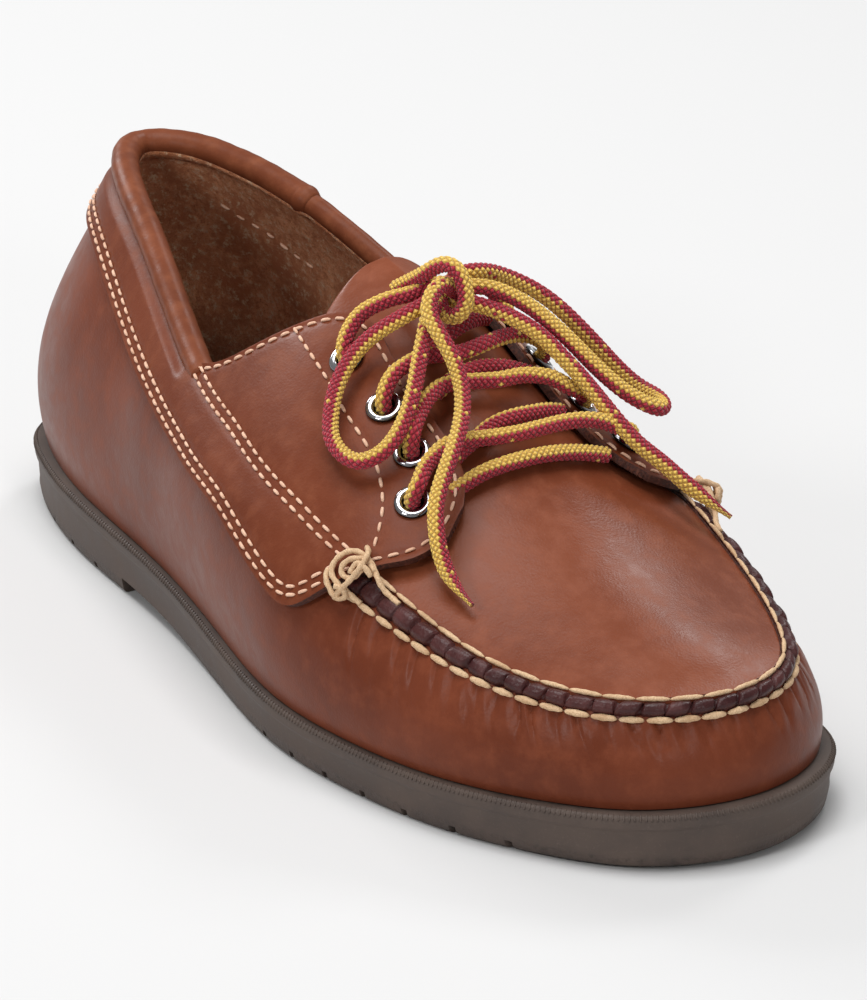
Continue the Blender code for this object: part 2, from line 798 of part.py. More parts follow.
def main():
    for old in list(bpy.data.objects):
        bpy.data.objects.remove(old)
    leather = material("pull_up_leather", "7b452e", 0.45)
    strap = material("quarter_leather", "7f4931", 0.45)
    rubber = material("moulded_rubber", "4a4340", 0.7)
    board = material("suede_board", "5a3a25", 0.9)
    cord = material("woven_lace", "a5672f", 0.75)
    nickel = material("nickel_plate", "a8a8aa", 0.3, 1.0)
    make_outsole(rubber)
    make_insole(board)
    make_upper(leather)
    make_tongue(leather)
    outer = make_quarter("quarter_outer", QUARTER_OUTER, strap)
    inner = make_quarter("quarter_inner", QUARTER_INNER, strap)
    seam = GAP / 2
    outer_roll = collar_line(SEAM_INNER - AROUND + seam, CORNER_OUTER - COLLAR_END)
    inner_roll = collar_line(CORNER_INNER + COLLAR_END, SEAM_INNER - seam)
    tube("collar_outer", outer_roll, COLLAR_RADIUS, strap)
    tube("collar_inner", inner_roll, COLLAR_RADIUS, strap)
    for name, text in BARS.items():
        tube(name, off_skin(*table(BAR_COLUMNS, text).T), LACE_RADIUS, cord)
    for name, text in CORDS.items():
        tube(name, table(CORD_COLUMNS, text), LACE_RADIUS, cord)
    make_knot(cord)
    eyelets = table(EYELET_COLUMNS, EYELETS)
    cut(outer, make_eyelet_cutter("holes_outer", eyelets[:, :2]))
    cut(inner, make_eyelet_cutter("holes_inner", eyelets[:, 2:]))
    for number, (at_out, rise_out, at_in, rise_in) in enumerate(eyelets, 1):
        make_eyelet(f"eyelet_outer_{number}", at_out, rise_out, nickel)
        make_eyelet(f"eyelet_inner_{number}", at_in, rise_in, nickel)


main()
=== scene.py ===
"""Looks of a right blucher moccasin: leather, seams, sole and laces over the solid parts.

Tables are in millimetres, as in the part: x runs forward from the back of the heel, y to
the inner side, z up. The form has two coordinates: round, the distance round the sole's
edge from the back of the heel along the outer side, and rise, which is 0 at the feather
line, 1 at the top of the wall (collar, then moccasin seam) and 2 at the instep's spine.
"""
import math

import bmesh
import bpy
import numpy as np
from mathutils import Matrix, Vector


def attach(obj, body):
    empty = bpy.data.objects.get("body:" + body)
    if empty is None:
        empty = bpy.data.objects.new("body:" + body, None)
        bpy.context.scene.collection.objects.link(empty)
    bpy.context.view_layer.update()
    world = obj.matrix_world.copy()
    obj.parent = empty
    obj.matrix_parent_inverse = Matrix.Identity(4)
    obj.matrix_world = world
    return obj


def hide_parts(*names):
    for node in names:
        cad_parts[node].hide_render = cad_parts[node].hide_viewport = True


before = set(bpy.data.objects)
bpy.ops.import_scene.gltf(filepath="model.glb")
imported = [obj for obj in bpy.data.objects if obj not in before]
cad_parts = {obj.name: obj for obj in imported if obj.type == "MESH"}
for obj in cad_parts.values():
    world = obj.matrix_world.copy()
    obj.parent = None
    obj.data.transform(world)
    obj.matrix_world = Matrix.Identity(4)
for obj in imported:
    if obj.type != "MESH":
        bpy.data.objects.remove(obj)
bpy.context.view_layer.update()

MM = 0.001
LENGTH = 300.0
MIDDLE = [LENGTH / 2, 0, 0]
LEVEL = np.array([0, 0, 1.0])
MERGE, SLIVER = 0.002, 0.001             # points closer than this are one
GAP = 0.35                               # clearance that the part leaves between its solids
WALL, OVERLAY, INSOLE = 2.2, 1.9, 3.0    # thickness of the wall, a quarter and the insole
WRAP_FACE = WALL - 0.2                   # wrap and plug without their lining
FLAP_LIFT, FRONT_LIFT = 0.6, 1.4         # quarter off the form, and more toward its front
LIFT_START, LIFT_END = 188.0, 214.0
HEEL_TOP, FORE_TOP = 15.5, 12.0
HEEL_LEVEL_END, FORE_LEVEL_START = 60.0, 200.0
TOE_SPRING_TOP, TOE_SPRING_BOTTOM, SPRING_START = 2.5, 1.3, 225.0
BREAST, ARCH_RISE, ARCH_END = 85.0, 4.0, 168.0
GROOVES = (20, 36, 52, 68, 182, 196, 210, 224, 238, 252, 266)
GROOVE_WIDTH, GROOVE_TALL = 1.8, 4.0     # of the cutter, half of it above the tread
RIB_PITCH = 1.25                         # knurl of the sole's upper rim
LIP = 3.4                                # height of the sole's upper rim
COLLAR_RADIUS, EYELET_HOLE, LACE_RADIUS = 3.5, 2.3, 2.0
RIDGE_LOW = 0.83                         # rise of the seam's lower thread
FOOT_STEER, TOP_STEER = 0.36, 0.40       # reach of the arcs' handles, as shares
INSTEP_STEER, SPINE_STEER = 0.28, 0.34
CORNER_OUTER, KNOT_OUTER, TOE = 130, 232, 349   # places round the shoe
KNOT_INNER, CORNER_INNER, SEAM_INNER = 457, 563, 613
TONGUE_TIP, TONGUE_BROAD = 146.0, 176.0  # where the tongue's end starts and is full
TONGUE_END, BLUNT = 143.6, 0.78          # its rounded outline
DOME_START, DOME_MIDDLE, DOME_REACH = 196.0, 240.0, 45.0
EDGE_SEAM, SECOND_SEAM = 1.7, 4.1        # stitch lines in from a quarter's edge
PAIR_APART = 2.3                         # between the two lines of the back seam
SEAM_DENT, SEAM_DENT_DEPTH = 1.1, 0.28   # how a stitch line pulls the leather in
HOLE_DENT, HOLE_DENT_DEPTH = 5.5, 0.45
STITCH_PITCH, LINING_PITCH, PLUG_PITCH = 3.95, 4.4, 7.4
HOLE_SPARE, PUNCH_DEPTH = 0.8, 9.0
PLEAT_PITCH = 6.2                        # gathers of the toe, and the wall's heavy stitches
PORE = 0.62                              # grain of the leather, as coarse as it needs to show
ROLL_TALL = 2.7                          # gathered roll of the moccasin seam
ROLL_START, ROLL_END = 0.17, 0.84        # its sides, between the two threads
STITCH_PLY, KNOT_PLY = 2.2, 2.4          # along the thread between turns of its ply
KNOT_RADIUS = 0.66
DISH = 0.9                               # of the insole
CUTTER_WIDTH = 160.0
LACE_SIDES, LACE_STEP = 49, 0.27
BRAID_STRANDS = 7                        # carriers that turn each way
BRAID_PITCH = 1.50                       # along the lace between carriers of one way
SHOW_WAY = np.array([0.79, -0.50, 0.36]) # the colours' boundary runs along this side

# A row for each upright section: edge of the sole, inset of the feather line, top of the
# wall, leans in degrees of the wall's foot, of its top and of the instep above it, and
# the place on the spine that the instep's ray runs to.
SECTION_COLUMNS = "edge_x edge_y inset top_x top_y top_z foot_lean top_lean instep_lean spine_x"
SECTIONS = """
heel_back 0 4.5 3 18.5 9 88.5 12 22 22 120
heel_corner_out 6 -14.5 3 24 1 88.3 14 26 26 120
heel_side_out 25 -25.5 3 38 -6 86.7 16 30 30 125
seat_out 60 -33.5 2.5 64 -14 81 14 32 32 132
waist_back_out 105 -38 2 107 -26.5 67.5 14 46 42 143
waist_out 150 -46 2 150 -38 61 16 48 32 168
joint_out 190 -52.5 2 189 -42 55.5 18 50 39 196
ball_out 222 -50.5 2 216 -38.5 48.5 20 46 60 216
plug_side_out 250 -44 2.4 243 -34 41.8 20 46 72 234
toe_side_out 275 -32 3 265 -26 38.4 18 42 76 250
toe_round_out 292 -18 3.6 280 -15 37.5 12 38 78 258
toe 300 10 4 288.5 8 37.3 10 36 80 260
toe_round_in 292 30.5 3.8 282 25 38 10 38 78 258
toe_side_in 275 45.5 3.4 266 35 39.6 14 42 76 250
plug_side_in 250 51 3 243 42 42.6 18 46 72 234
ball_in 222 52.5 2.2 216 46 48.2 20 46 54 216
joint_in 190 45 2 189 47 53 24 50 48 196
waist_in 150 36.5 2 150 45 58 28 48 45 168
waist_back_in 105 36.5 2 107 41 66 22 46 42 143
seat_in 60 40.5 2.5 64 32 81 16 32 32 132
heel_side_in 25 37 3 38 24.5 86.7 16 30 30 125
heel_corner_in 6 22 3 24 17.5 88.3 14 26 26 120
"""
# Centre line of the instep and the plug.
SPINE_COLUMNS = "x y z"
SPINE = """
110 4.5 104.5; 125 4.5 101.8; 143 4.5 98.2; 160 4.5 94; 175 4.5 88.3; 190 4.5 79.5; 205 4.6 69.4
220 4.8 60.4; 240 5.5 51.2; 262 6.5 44.6
"""
# Cross lines of each quarter, from its lower edge to its upper edge, as (round, rise).
QUARTER_COLUMNS = "low_round low_rise high_round high_rise"
QUARTER_OUTER = """
-74 0.765 -74 0.94; -49 0.8 -49 0.94; -20 0.82 -20 0.94; 0 0.82 0 0.94; 26 0.815 26 0.94
50 0.81 50 0.94; 75 0.775 75 0.94; 100 0.745 100 0.95; 120 0.735 123 0.96; 134 0.735 133 1.04
147 0.735 141 1.15; 162 0.73 148 1.31; 177 0.73 153 1.45; 190 0.695 157 1.57; 201 0.65 162 1.68
210 0.61 171 1.73; 219 0.61 184 1.715; 226 0.71 199 1.7; 231 0.83 211 1.7; 237 0.97 221 1.69
243 1.11 229 1.665; 246 1.26 235 1.62; 246 1.4 240 1.56
"""
QUARTER_INNER = """
612 0.76 612 0.94; 596 0.77 596 0.945; 580 0.765 572 0.96; 566 0.75 561 1.04; 552 0.735 554 1.15
537 0.72 547 1.31; 522 0.71 542 1.45; 508 0.69 538 1.58; 496 0.65 533 1.69; 485 0.61 522 1.745
476 0.64 509 1.71; 469 0.74 495 1.69; 463 0.84 484 1.67; 459 0.97 474 1.645; 453 1.11 465 1.62
449 1.26 459 1.58; 449 1.4 454 1.52
"""
# Stitch lines of each quarter, and of the lining on its inner side.
LINE_COLUMNS = "round rise"
BACK_SEAM_OUTER = """
136 1.012; 146 1.018; 157 1.028; 166 1.034; 180 1.022; 193 1.012; 206 1.008; 217 0.995; 228 0.985
"""
BACK_SEAM_INNER = """
558.5 1.075; 535.4 1.02; 501.2 0.965; 475.7 0.995; 463 1.03
"""
FACING_OUTER = """
156.8 1.482; 173.4 1.472; 182.8 1.462; 192.2 1.442; 202.9 1.426; 211 1.404; 220.5 1.343; 228 1.253
234 1.12
"""
FACING_INNER = """
538 1.54; 519.6 1.45; 502 1.39; 483.6 1.335; 465.2 1.25; 456 1.11
"""
LINING_SEAM = """
655 0.806; 648.9 0.776; 641.8 0.758; 635.3 0.73; 628.8 0.706; 623 0.695
"""
# Eyelet centres on each flap, top pair first.
EYELET_COLUMNS = "outer_round outer_rise inner_round inner_rise"
EYELETS = """
179 1.57 516 1.6; 199 1.57 499 1.58; 216 1.54 482 1.51; 231 1.39 466 1.4
"""
# Lace over the throat, and runs of it that lie on the tongue and end under the flaps.
BAR_COLUMNS = "round rise clear"
BARS = {
    "lace_bar_2": """
        195.1 1.654 7.4; 193.3 1.717 7; 191.9 1.786 6.2; 192.2 1.855 5.4; 192.5 1.937 5
        498.4 1.985 5.2; 499 1.874 6; 499.1 1.767 7; 498.4 1.7 7.4
    """,
    "lace_bar_3": """
        213.5 1.579 7.8; 209.1 1.642 7.4; 204.9 1.717 6.8; 202.4 1.786 6; 202.1 1.855 5.2
        202.6 1.93 4.8; 485.8 1.985 5; 485 1.906 6; 483.4 1.83 7.2; 481.4 1.755 7.8
        479.2 1.695 7.6
    """,
    "lace_bar_4": """
        230.1 1.44 8.4; 226.6 1.503 8; 223.1 1.585 7; 220.8 1.66 6; 220.5 1.723 5.2
        221.3 1.786 4.8; 222.6 1.874 4.8; 223.1 1.97 4.8; 465.6 1.874 5.8; 465.3 1.723 7.4
        463.8 1.61 8.2; 462.6 1.535 8
    """,
    "lace_bar_low": """
        232.9 1.56 2.3; 232.7 1.62 2.4; 231.8 1.72 2.6; 231.2 1.887 2.6; 457.6 1.93 2.6
        457.6 1.767 2.5; 457.6 1.648 2.4; 457.8 1.58 2.3
    """,
}
INNER_RUNS = {
    "run_3": """
        224.6 1.64 2.4; 222.2 1.711 2.5; 219.6 1.805 2.6; 216.8 1.893 2.6; 215.2 1.985 2.6
        474.4 1.887 2.6; 475.2 1.786 2.5; 475.6 1.7 2.4
    """,
    "run_2": """
        201.4 1.77 2.5; 198.6 1.862 2.6; 196.8 1.95 2.6; 492.2 1.943 2.6; 491.1 1.86 2.6
        489.8 1.76 2.5
    """,
    "run_1": """
        189.4 1.8 2.5; 186.3 1.874 2.6; 184 1.937 2.7; 508.8 1.985 2.8; 509.7 1.899 3
        510.4 1.82 2.9
    """,
}
CORD_COLUMNS = "x y z"
CORDS = {
    "lace_top_outer": """
        166 -18.4 90.2; 166.5 -15.3 92.9; 168.3 -12.1 95.4; 170.7 -8.4 97.2; 172.5 -4.5 98.2
        173.8 -1.4 99.6; 173.9 2.8 99.6
    """,
    "lace_top_inner": """
        161.6 24.4 88.5; 162 23.2 90.4; 163.6 20 93.4; 167 16.2 96; 171 12 98; 174.2 8.7 98.8
    """,
    "lace_loop_outer": """
        175.1 1.2 97.6; 177.4 -3.5 97.2; 177.8 -8.9 95.6; 176.7 -13.3 93.4; 175.3 -17.5 90.6
        174.8 -21.4 87.3; 175.9 -25.5 83.4; 178.5 -29.2 79.5; 182.1 -32.2 75.8; 186.9 -34.6 72.8
        192.1 -34.9 70.7; 196.6 -33.3 70.1; 198.9 -30.5 71.3; 199.8 -26.9 74; 198.6 -22.8 77.8
        195.7 -18.8 81.9; 192.2 -15.3 85.9; 188.7 -12.2 89.6; 185.4 -9.1 92.9; 181.8 -5.8 95.5
        178.2 -0.7 96.5
    """,
    "lace_loop_inner": """
        171.2 5.2 98; 174.9 7.7 101.6; 174.7 12.9 101.1; 173.5 19.2 98.5; 174.4 25.1 95.2
        176.4 30.4 91.1; 178.8 35.4 85.7; 181.9 40 79.7; 184.9 43.9 74.4; 189.4 46.7 71
        195.3 47.4 70.4; 201.7 45.5 70.4; 205.6 40.8 72; 204.2 36.5 74.5; 201.3 32.2 78.3
        197.9 28.7 82.5; 194.1 25.5 87; 190.4 22.2 91.1; 186.6 18.5 94.9; 183.9 14.2 97.9
        181.9 9.4 99.9; 179.7 6.1 100; 173.9 4.5 96.6
    """,
    "lace_end_centre": """
        176.3 4.8 97.3; 179.9 1.1 100.8; 182.6 -3.3 102.8; 184.7 -6.8 101.7; 187 -8.9 99.2
        189.8 -9.3 96.6; 192.9 -8.6 93.5; 196 -7.7 89.4; 199.7 -8 84.9; 204.4 -10.4 81.1
        210 -14.9 77.6; 213.9 -19.3 74; 216.9 -23.3 70; 219.9 -26.6 65.9; 222.9 -28.4 61.6
        228.6 -29.2 53.6; 238.1 -28 47.9
    """,
    "lace_end_inner": """
        176.3 3.9 95.9; 182.1 5.5 96.8; 185.5 9.8 95.3; 189 14.1 92.9; 192.4 17.6 90
        196.3 20.7 85.8; 200.2 23.5 81.5; 204.4 26 76.9; 209 28.4 72.1; 213.2 31.3 67.5
        217.3 35.2 63.4; 221.5 39.1 58.9; 225.8 42.9 55; 229.7 46.5 51.6
    """,
    "lace_knot": """
        164.4 -4.3 96.8; 169.8 -3.3 100.2; 175.1 -2.6 103.6; 178.4 -1.6 106; 181.3 -0.4 107
        183.7 0.7 106; 185.5 1.3 103; 186.5 1.2 99.1; 185.3 0.2 96; 181.6 -0.6 94.8
        177.5 -0.2 95.9; 173.9 2.8 96.9
    """,
}
# How far round each lace its yellow side lies, at its start and its end, in degrees.
LACE_TURNS = {
    "lace_bar_2": (180, 0), "lace_bar_3": (150, 215), "lace_bar_4": (180, 190),
    "lace_bar_low": (200, 200), "run_3": (140, 140), "run_2": (100, 110), "run_1": (120, 120),
    "lace_top_outer": (165, 165), "lace_top_inner": (0, 0), "lace_knot": (180, 210),
    "lace_loop_outer": (180, 180), "lace_loop_inner": (0, 0),
    "lace_end_centre": (0, 0), "lace_end_inner": (0, 0),
}

# Strands of the knot that ties the two heavy threads at the seam's end, as distances
# round the shoe from the knot, rises, and heights off the form.
KNOT_COLUMNS = "onward rise clear"
THREAD_KNOT = (
    """
    18.2 0.96 1.3; 15.7 0.962 1.6; 13.2 0.967 2.8; 10.9 0.987 4.4; 7.4 1.008 5.2; 3.6 1.013 5.8
    0.6 0.997 5.8; -1.4 0.957 5.6; -2.1 0.907 5.2; -1.4 0.872 4.8; 0.9 0.852 4.2; 3.1 0.847 3.4
    5.7 0.842 2.2; 7.9 0.836 1
    """,
    """
    9.7 0.992 5; 6.2 1.003 6; 3.4 0.982 6.6; 1.6 0.947 6.2; 1.4 0.907 5.6; 3.4 0.897 5
    5.9 0.927 5.4; 7.2 0.972 6.4
    """,
    """
    1.9 1.063 4; 6.2 1.013 7; 7.4 0.977 7.6; 6.4 0.927 6.6; 4.7 0.872 5.4; 2.6 0.821 4
    1.1 0.781 2.6
    """,
    """
    -3.4 0.877 4.4; -2.4 0.836 4.4; -0.4 0.806 3.6; 2.1 0.791 3; 4.4 0.821 3.2; 3.9 0.842 4.4
    1.4 0.831 4.8
    """,
    """
    4.9 0.922 6.4; 5.9 0.977 7.4; 8.4 0.982 7; 9.9 0.972 5.4
    """,
)

# ---------------------------------------------------------------- numbers


def table(columns, text):
    """Rows with named columns, divided by lines or semicolons; a leading name is left out."""
    width = len(columns.split())
    rows = [row.split()[-width:] for row in text.replace(";", "\n").strip().splitlines()]
    return np.array([[float(cell) for cell in row] for row in rows])


class Spline:
    """Smooth curve through rows of values at given knots, closed or open."""

    def __init__(self, knots, values, closed=False):
        self.knots, self.closed = np.asarray(knots, float), closed
        values = np.asarray(values, float)
        self.values = np.vstack([values, values[:1]]) if closed else values
        self.slopes = self._slopes()

    def _slopes(self):
        step = np.diff(self.knots)
        pitch = np.diff(self.values, axis=0) / step[:, None]
        count = len(self.values)
        left, right = np.zeros((count, count)), np.zeros_like(self.values)
        for i in range(0 if self.closed else 1, count - 1):
            before, after = step[i - 1], step[i]
            earlier = count - 2 if i == 0 else i - 1
            left[i, [earlier, i, i + 1]] = after, 2 * (before + after), before
            right[i] = 3 * (after * pitch[i - 1] + before * pitch[i])
        if self.closed:
            left[-1, [0, -1]] = 1, -1
        else:
            left[0, :2], left[-1, -2:] = (2, 1), (1, 2)
            right[[0, -1]] = 3 * pitch[[0, -1]]
        return np.linalg.solve(left, right)

    def __call__(self, at):
        at = np.asarray(at, float)
        if self.closed:
            at = np.mod(at, self.knots[-1])
        i = np.clip(np.searchsorted(self.knots, at, side="right") - 1, 0, len(self.knots) - 2)
        step = (self.knots[i + 1] - self.knots[i])[..., None]
        t = (at - self.knots[i])[..., None] / step
        return (
            (1 + 2 * t) * (1 - t) ** 2 * self.values[i]
            + t * (1 - t) ** 2 * step * self.slopes[i]
            + t * t * (3 - 2 * t) * self.values[i + 1]
            + t * t * (t - 1) * step * self.slopes[i + 1]
        )


def chord_knots(points):
    """Running length along a row of points."""
    return np.r_[0, np.cumsum(np.linalg.norm(np.diff(points, axis=0), axis=1))]


def steps_between(start, end, size):
    return np.linspace(start, end, max(3, round(abs(end - start) / size) + 1))


def unit(vectors):
    return vectors / np.linalg.norm(vectors, axis=-1, keepdims=True)


def smooth(t):
    t = np.clip(t, 0, 1)
    return t * t * (3 - 2 * t)


def waves(at, seed, sizes=(37.0, 17.0, 9.0)):
    """Slow uneven variation along a distance, about -1 to 1."""
    phase = np.sin(np.arange(1, 4) * (seed + 1.7)) * 10
    return sum(np.sin(2 * math.pi * at / size + p) for size, p in zip(sizes, phase)) / 2.2


def place(points):
    """Table millimetres to metres in the shoe's own frame."""
    return (np.asarray(points, float) - MIDDLE) * MM


# ---------------------------------------------------------------- the form

SECTION_VALUES = table(SECTION_COLUMNS, SECTIONS)
COLUMN = {name: i for i, name in enumerate(SECTION_COLUMNS.split())}
ROUND_KNOTS = chord_knots(np.vstack([SECTION_VALUES[:, :2], SECTION_VALUES[:1, :2]]))
AROUND = ROUND_KNOTS[-1]
SECTION = Spline(ROUND_KNOTS, SECTION_VALUES, closed=True)
SPINE_VALUES = table(SPINE_COLUMNS, SPINE)
SPINE_LINE = Spline(SPINE_VALUES[:, 0], SPINE_VALUES)
EYELET_ROWS = table(EYELET_COLUMNS, EYELETS)
HOLES_OUTER, HOLES_INNER = EYELET_ROWS[:, :2], EYELET_ROWS[:, 2:]


def spring(x):
    return np.clip((x - SPRING_START) / (LENGTH - SPRING_START), 0, 2) ** 2


def sole_top(x):
    fall = smooth((x - HEEL_LEVEL_END) / (FORE_LEVEL_START - HEEL_LEVEL_END))
    return HEEL_TOP + (FORE_TOP - HEEL_TOP) * fall + TOE_SPRING_TOP * spring(x)


def sole_bottom(x):
    return TOE_SPRING_BOTTOM * spring(x)


def outward(at):
    """Level normal of the sole's edge."""
    step = SECTION(np.asarray(at) + 1)[..., :2] - SECTION(np.asarray(at) - 1)[..., :2]
    return unit(np.stack([step[..., 1], -step[..., 0], 0 * step[..., 0]], -1))


def edge(at, inward):
    """Point of the sole's edge in plan, moved in by a distance."""
    points = np.zeros(np.shape(at) + (3,))
    points[..., :2] = SECTION(at)[..., :2]
    return points - outward(at) * inward


def arc(a, b, c, d, t):
    """Cubic arc through its two ends a and d, steered by b and c."""
    return a * (1 - t) ** 3 + 3 * b * t * (1 - t) ** 2 + 3 * c * t * t * (1 - t) + d * t**3


def skin(at, rise):
    """Outer face of the lasted form."""
    at, rise = np.broadcast_arrays(np.asarray(at, float), np.asarray(rise, float))
    row, out, t = SECTION(at), outward(at), rise[..., None]
    foot = edge(at, row[..., COLUMN["inset"], None])
    foot[..., 2] = sole_top(foot[..., 0]) + GAP
    top = row[..., COLUMN["top_x"] : COLUMN["top_z"] + 1]
    foot_lean, top_lean, instep_lean = (
        np.radians(row[..., COLUMN[name], None])
        for name in ("foot_lean", "top_lean", "instep_lean")
    )
    height = np.linalg.norm(top - foot, axis=-1, keepdims=True)
    low = foot + FOOT_STEER * height * (out * np.sin(foot_lean) + LEVEL * np.cos(foot_lean))
    high = top + TOP_STEER * height * (out * np.sin(top_lean) - LEVEL * np.cos(top_lean))
    spine = SPINE_LINE(row[..., COLUMN["spine_x"]])
    reach = np.linalg.norm(spine - top, axis=-1, keepdims=True)
    start = top + INSTEP_STEER * reach * (LEVEL * np.cos(instep_lean) - out * np.sin(instep_lean))
    end = spine - SPINE_STEER * reach * unit((spine - top) * [1, 1, 0])
    wall = arc(foot, low, high, top, np.clip(t, 0, 1))
    return np.where(t <= 1, wall, arc(top, start, end, spine, np.clip(t - 1, 0, 1)))


def skin_normal(at, rise):
    """Outward normal of the form."""
    at, rise = np.broadcast_arrays(np.asarray(at, float), np.asarray(rise, float))
    step = 0.02
    along = skin(at + 1, rise) - skin(at - 1, rise)
    over = skin(at, np.clip(rise + step, 0, 2)) - skin(at, np.clip(rise - step, 0, 2))
    return unit(np.cross(along, over))


def off_skin(at, rise, distance):
    """Point clear of the form by a distance."""
    return skin(at, rise) + skin_normal(at, rise) * np.asarray(distance, float)[..., None]


def behind_corner(at):
    """Distance round the shoe behind the nearer of the two flap corners."""
    at = np.mod(at, AROUND)
    return np.maximum(CORNER_OUTER - at, at - CORNER_INNER)


def under_roll(at):
    """Rise at which leather ends just below the collar roll."""
    height = np.linalg.norm(skin(at, 1.0) - skin(at, 0.0), axis=-1)
    return 1 - (COLLAR_RADIUS + 3 * GAP) / (3 * TOP_STEER * height)


def wall_top(at):
    share = smooth(behind_corner(at) / 8 + 0.5)
    return 1 + (under_roll(at) - 1) * share


def on_quarter(at, rise, extra=0.0):
    """Quarter's face: the form eased where its wall turns into the instep."""
    rise = np.asarray(rise, float)
    forward = (skin(at, rise)[..., 0] - LIFT_START) / (LIFT_END - LIFT_START)
    lift = FLAP_LIFT + FRONT_LIFT * smooth(forward) + OVERLAY + extra
    level, *near = (
        off_skin(at, rise + step, lift) for step in (0.0, -0.09, -0.045, 0.045, 0.09)
    )
    ease = smooth((0.16 - np.abs(rise - 1.0)) / 0.10) * smooth(-behind_corner(at) / 12)
    even = 0.30 * level + 0.15 * (near[0] + near[3]) + 0.20 * (near[1] + near[2])
    return level + (even - level) * ease[..., None]


def lay_on(path, target):
    """Path on the form whose points lie nearest to given ones, from a path close by."""
    for _ in range(4):
        at, rise = path.T
        by_at = on_quarter(at + 0.5, rise) - on_quarter(at - 0.5, rise)
        by_rise = (on_quarter(at, rise + 0.005) - on_quarter(at, rise - 0.005)) / 0.01
        move = target - on_quarter(at, rise)
        aa, ab, ma = ((by_at * way).sum(1) for way in (by_at, by_rise, move))
        bb, mb = ((by_rise * way).sum(1) for way in (by_rise, move))
        spread = aa * bb - ab * ab
        path = path + np.stack([(ma * bb - mb * ab) / spread, (mb * aa - ma * ab) / spread], 1)
    return path


def inset(path, distance, turn=1):
    """Path on the form moved sideways over the surface by a distance."""
    here = on_quarter(*path.T)
    side = np.cross(skin_normal(*path.T), unit(np.gradient(here, axis=0))) * turn
    return lay_on(path, here + side * distance)


def resample(path, size):
    """Path on the form at even steps of its own length."""
    run = chord_knots(on_quarter(*path.T))
    keep = np.r_[True, np.diff(run) > 1e-6]
    at = steps_between(0, run[-1], size)
    return np.stack([np.interp(at, run[keep], path[keep, i]) for i in (0, 1)], 1)


def soften(path, times):
    """Rounds the corners of an open path."""
    path = path.copy()
    for _ in range(times):
        path[1:-1] = (path[:-2] + 2 * path[1:-1] + path[2:]) / 4
    return path


# ---------------------------------------------------------------- camera

CAMERA_PLACE = Vector((1447.4, -847.3, 681.7)) * MM
CAMERA_TURN, CAMERA_LIFT, CAMERA_ROLL = 57.5, 20.8, 0.6
CAMERA_LENS, SENSOR = 273.972, 36
AIM = (-0.02833, -0.00291)   # the shoe's middle, as slopes off that line of sight


def make_camera():
    """Camera turned from its first line of sight to the middle of the shoe."""
    turn, lift, roll = (math.radians(a) for a in (CAMERA_TURN, CAMERA_LIFT, CAMERA_ROLL))
    flat = math.cos(lift)
    back = Vector((math.sin(turn) * flat, -math.cos(turn) * flat, math.sin(lift)))
    right = Vector((math.cos(turn), math.sin(turn), 0))
    up = back.cross(right)
    right, up = (
        right * math.cos(roll) + up * math.sin(roll),
        up * math.cos(roll) - right * math.sin(roll),
    )
    back = (back - right * AIM[0] - up * AIM[1]).normalized()
    right = up.cross(back).normalized()
    stance = Matrix((right, back.cross(right), back)).transposed().to_4x4()
    made = link("camera", bpy.data.cameras.new("camera"))
    made.data.lens, made.data.sensor_width, made.data.clip_start = CAMERA_LENS, SENSOR, 0.1
    made.matrix_world = Matrix.Translation(CAMERA_PLACE) @ stance
    bpy.context.scene.camera = made


# ---------------------------------------------------------------- finishes


def srgb(hex_colour):
    channels = [int(hex_colour[i : i + 2], 16) / 255 for i in (0, 2, 4)]
    linear = [c / 12.92 if c <= 0.04045 else ((c + 0.055) / 1.055) ** 2.4 for c in channels]
    return (*linear, 1.0)


def add(tree, kind, inputs=(), output=0, **settings):
    """Adds a node with its settings and its links or values, and gives one of its outputs.

    The inputs go by name, or in their own order.
    """
    made = tree.nodes.new(kind)
    for name, value in settings.items():
        setattr(made, name, value)
    for name, value in inputs.items() if isinstance(inputs, dict) else enumerate(inputs):
        if isinstance(value, bpy.types.NodeSocket):
            tree.links.new(value, made.inputs[name])
        else:
            made.inputs[name].default_value = value
    return made.outputs[output] if made.outputs else made


EASED = {"interpolation_type": "SMOOTHSTEP"}


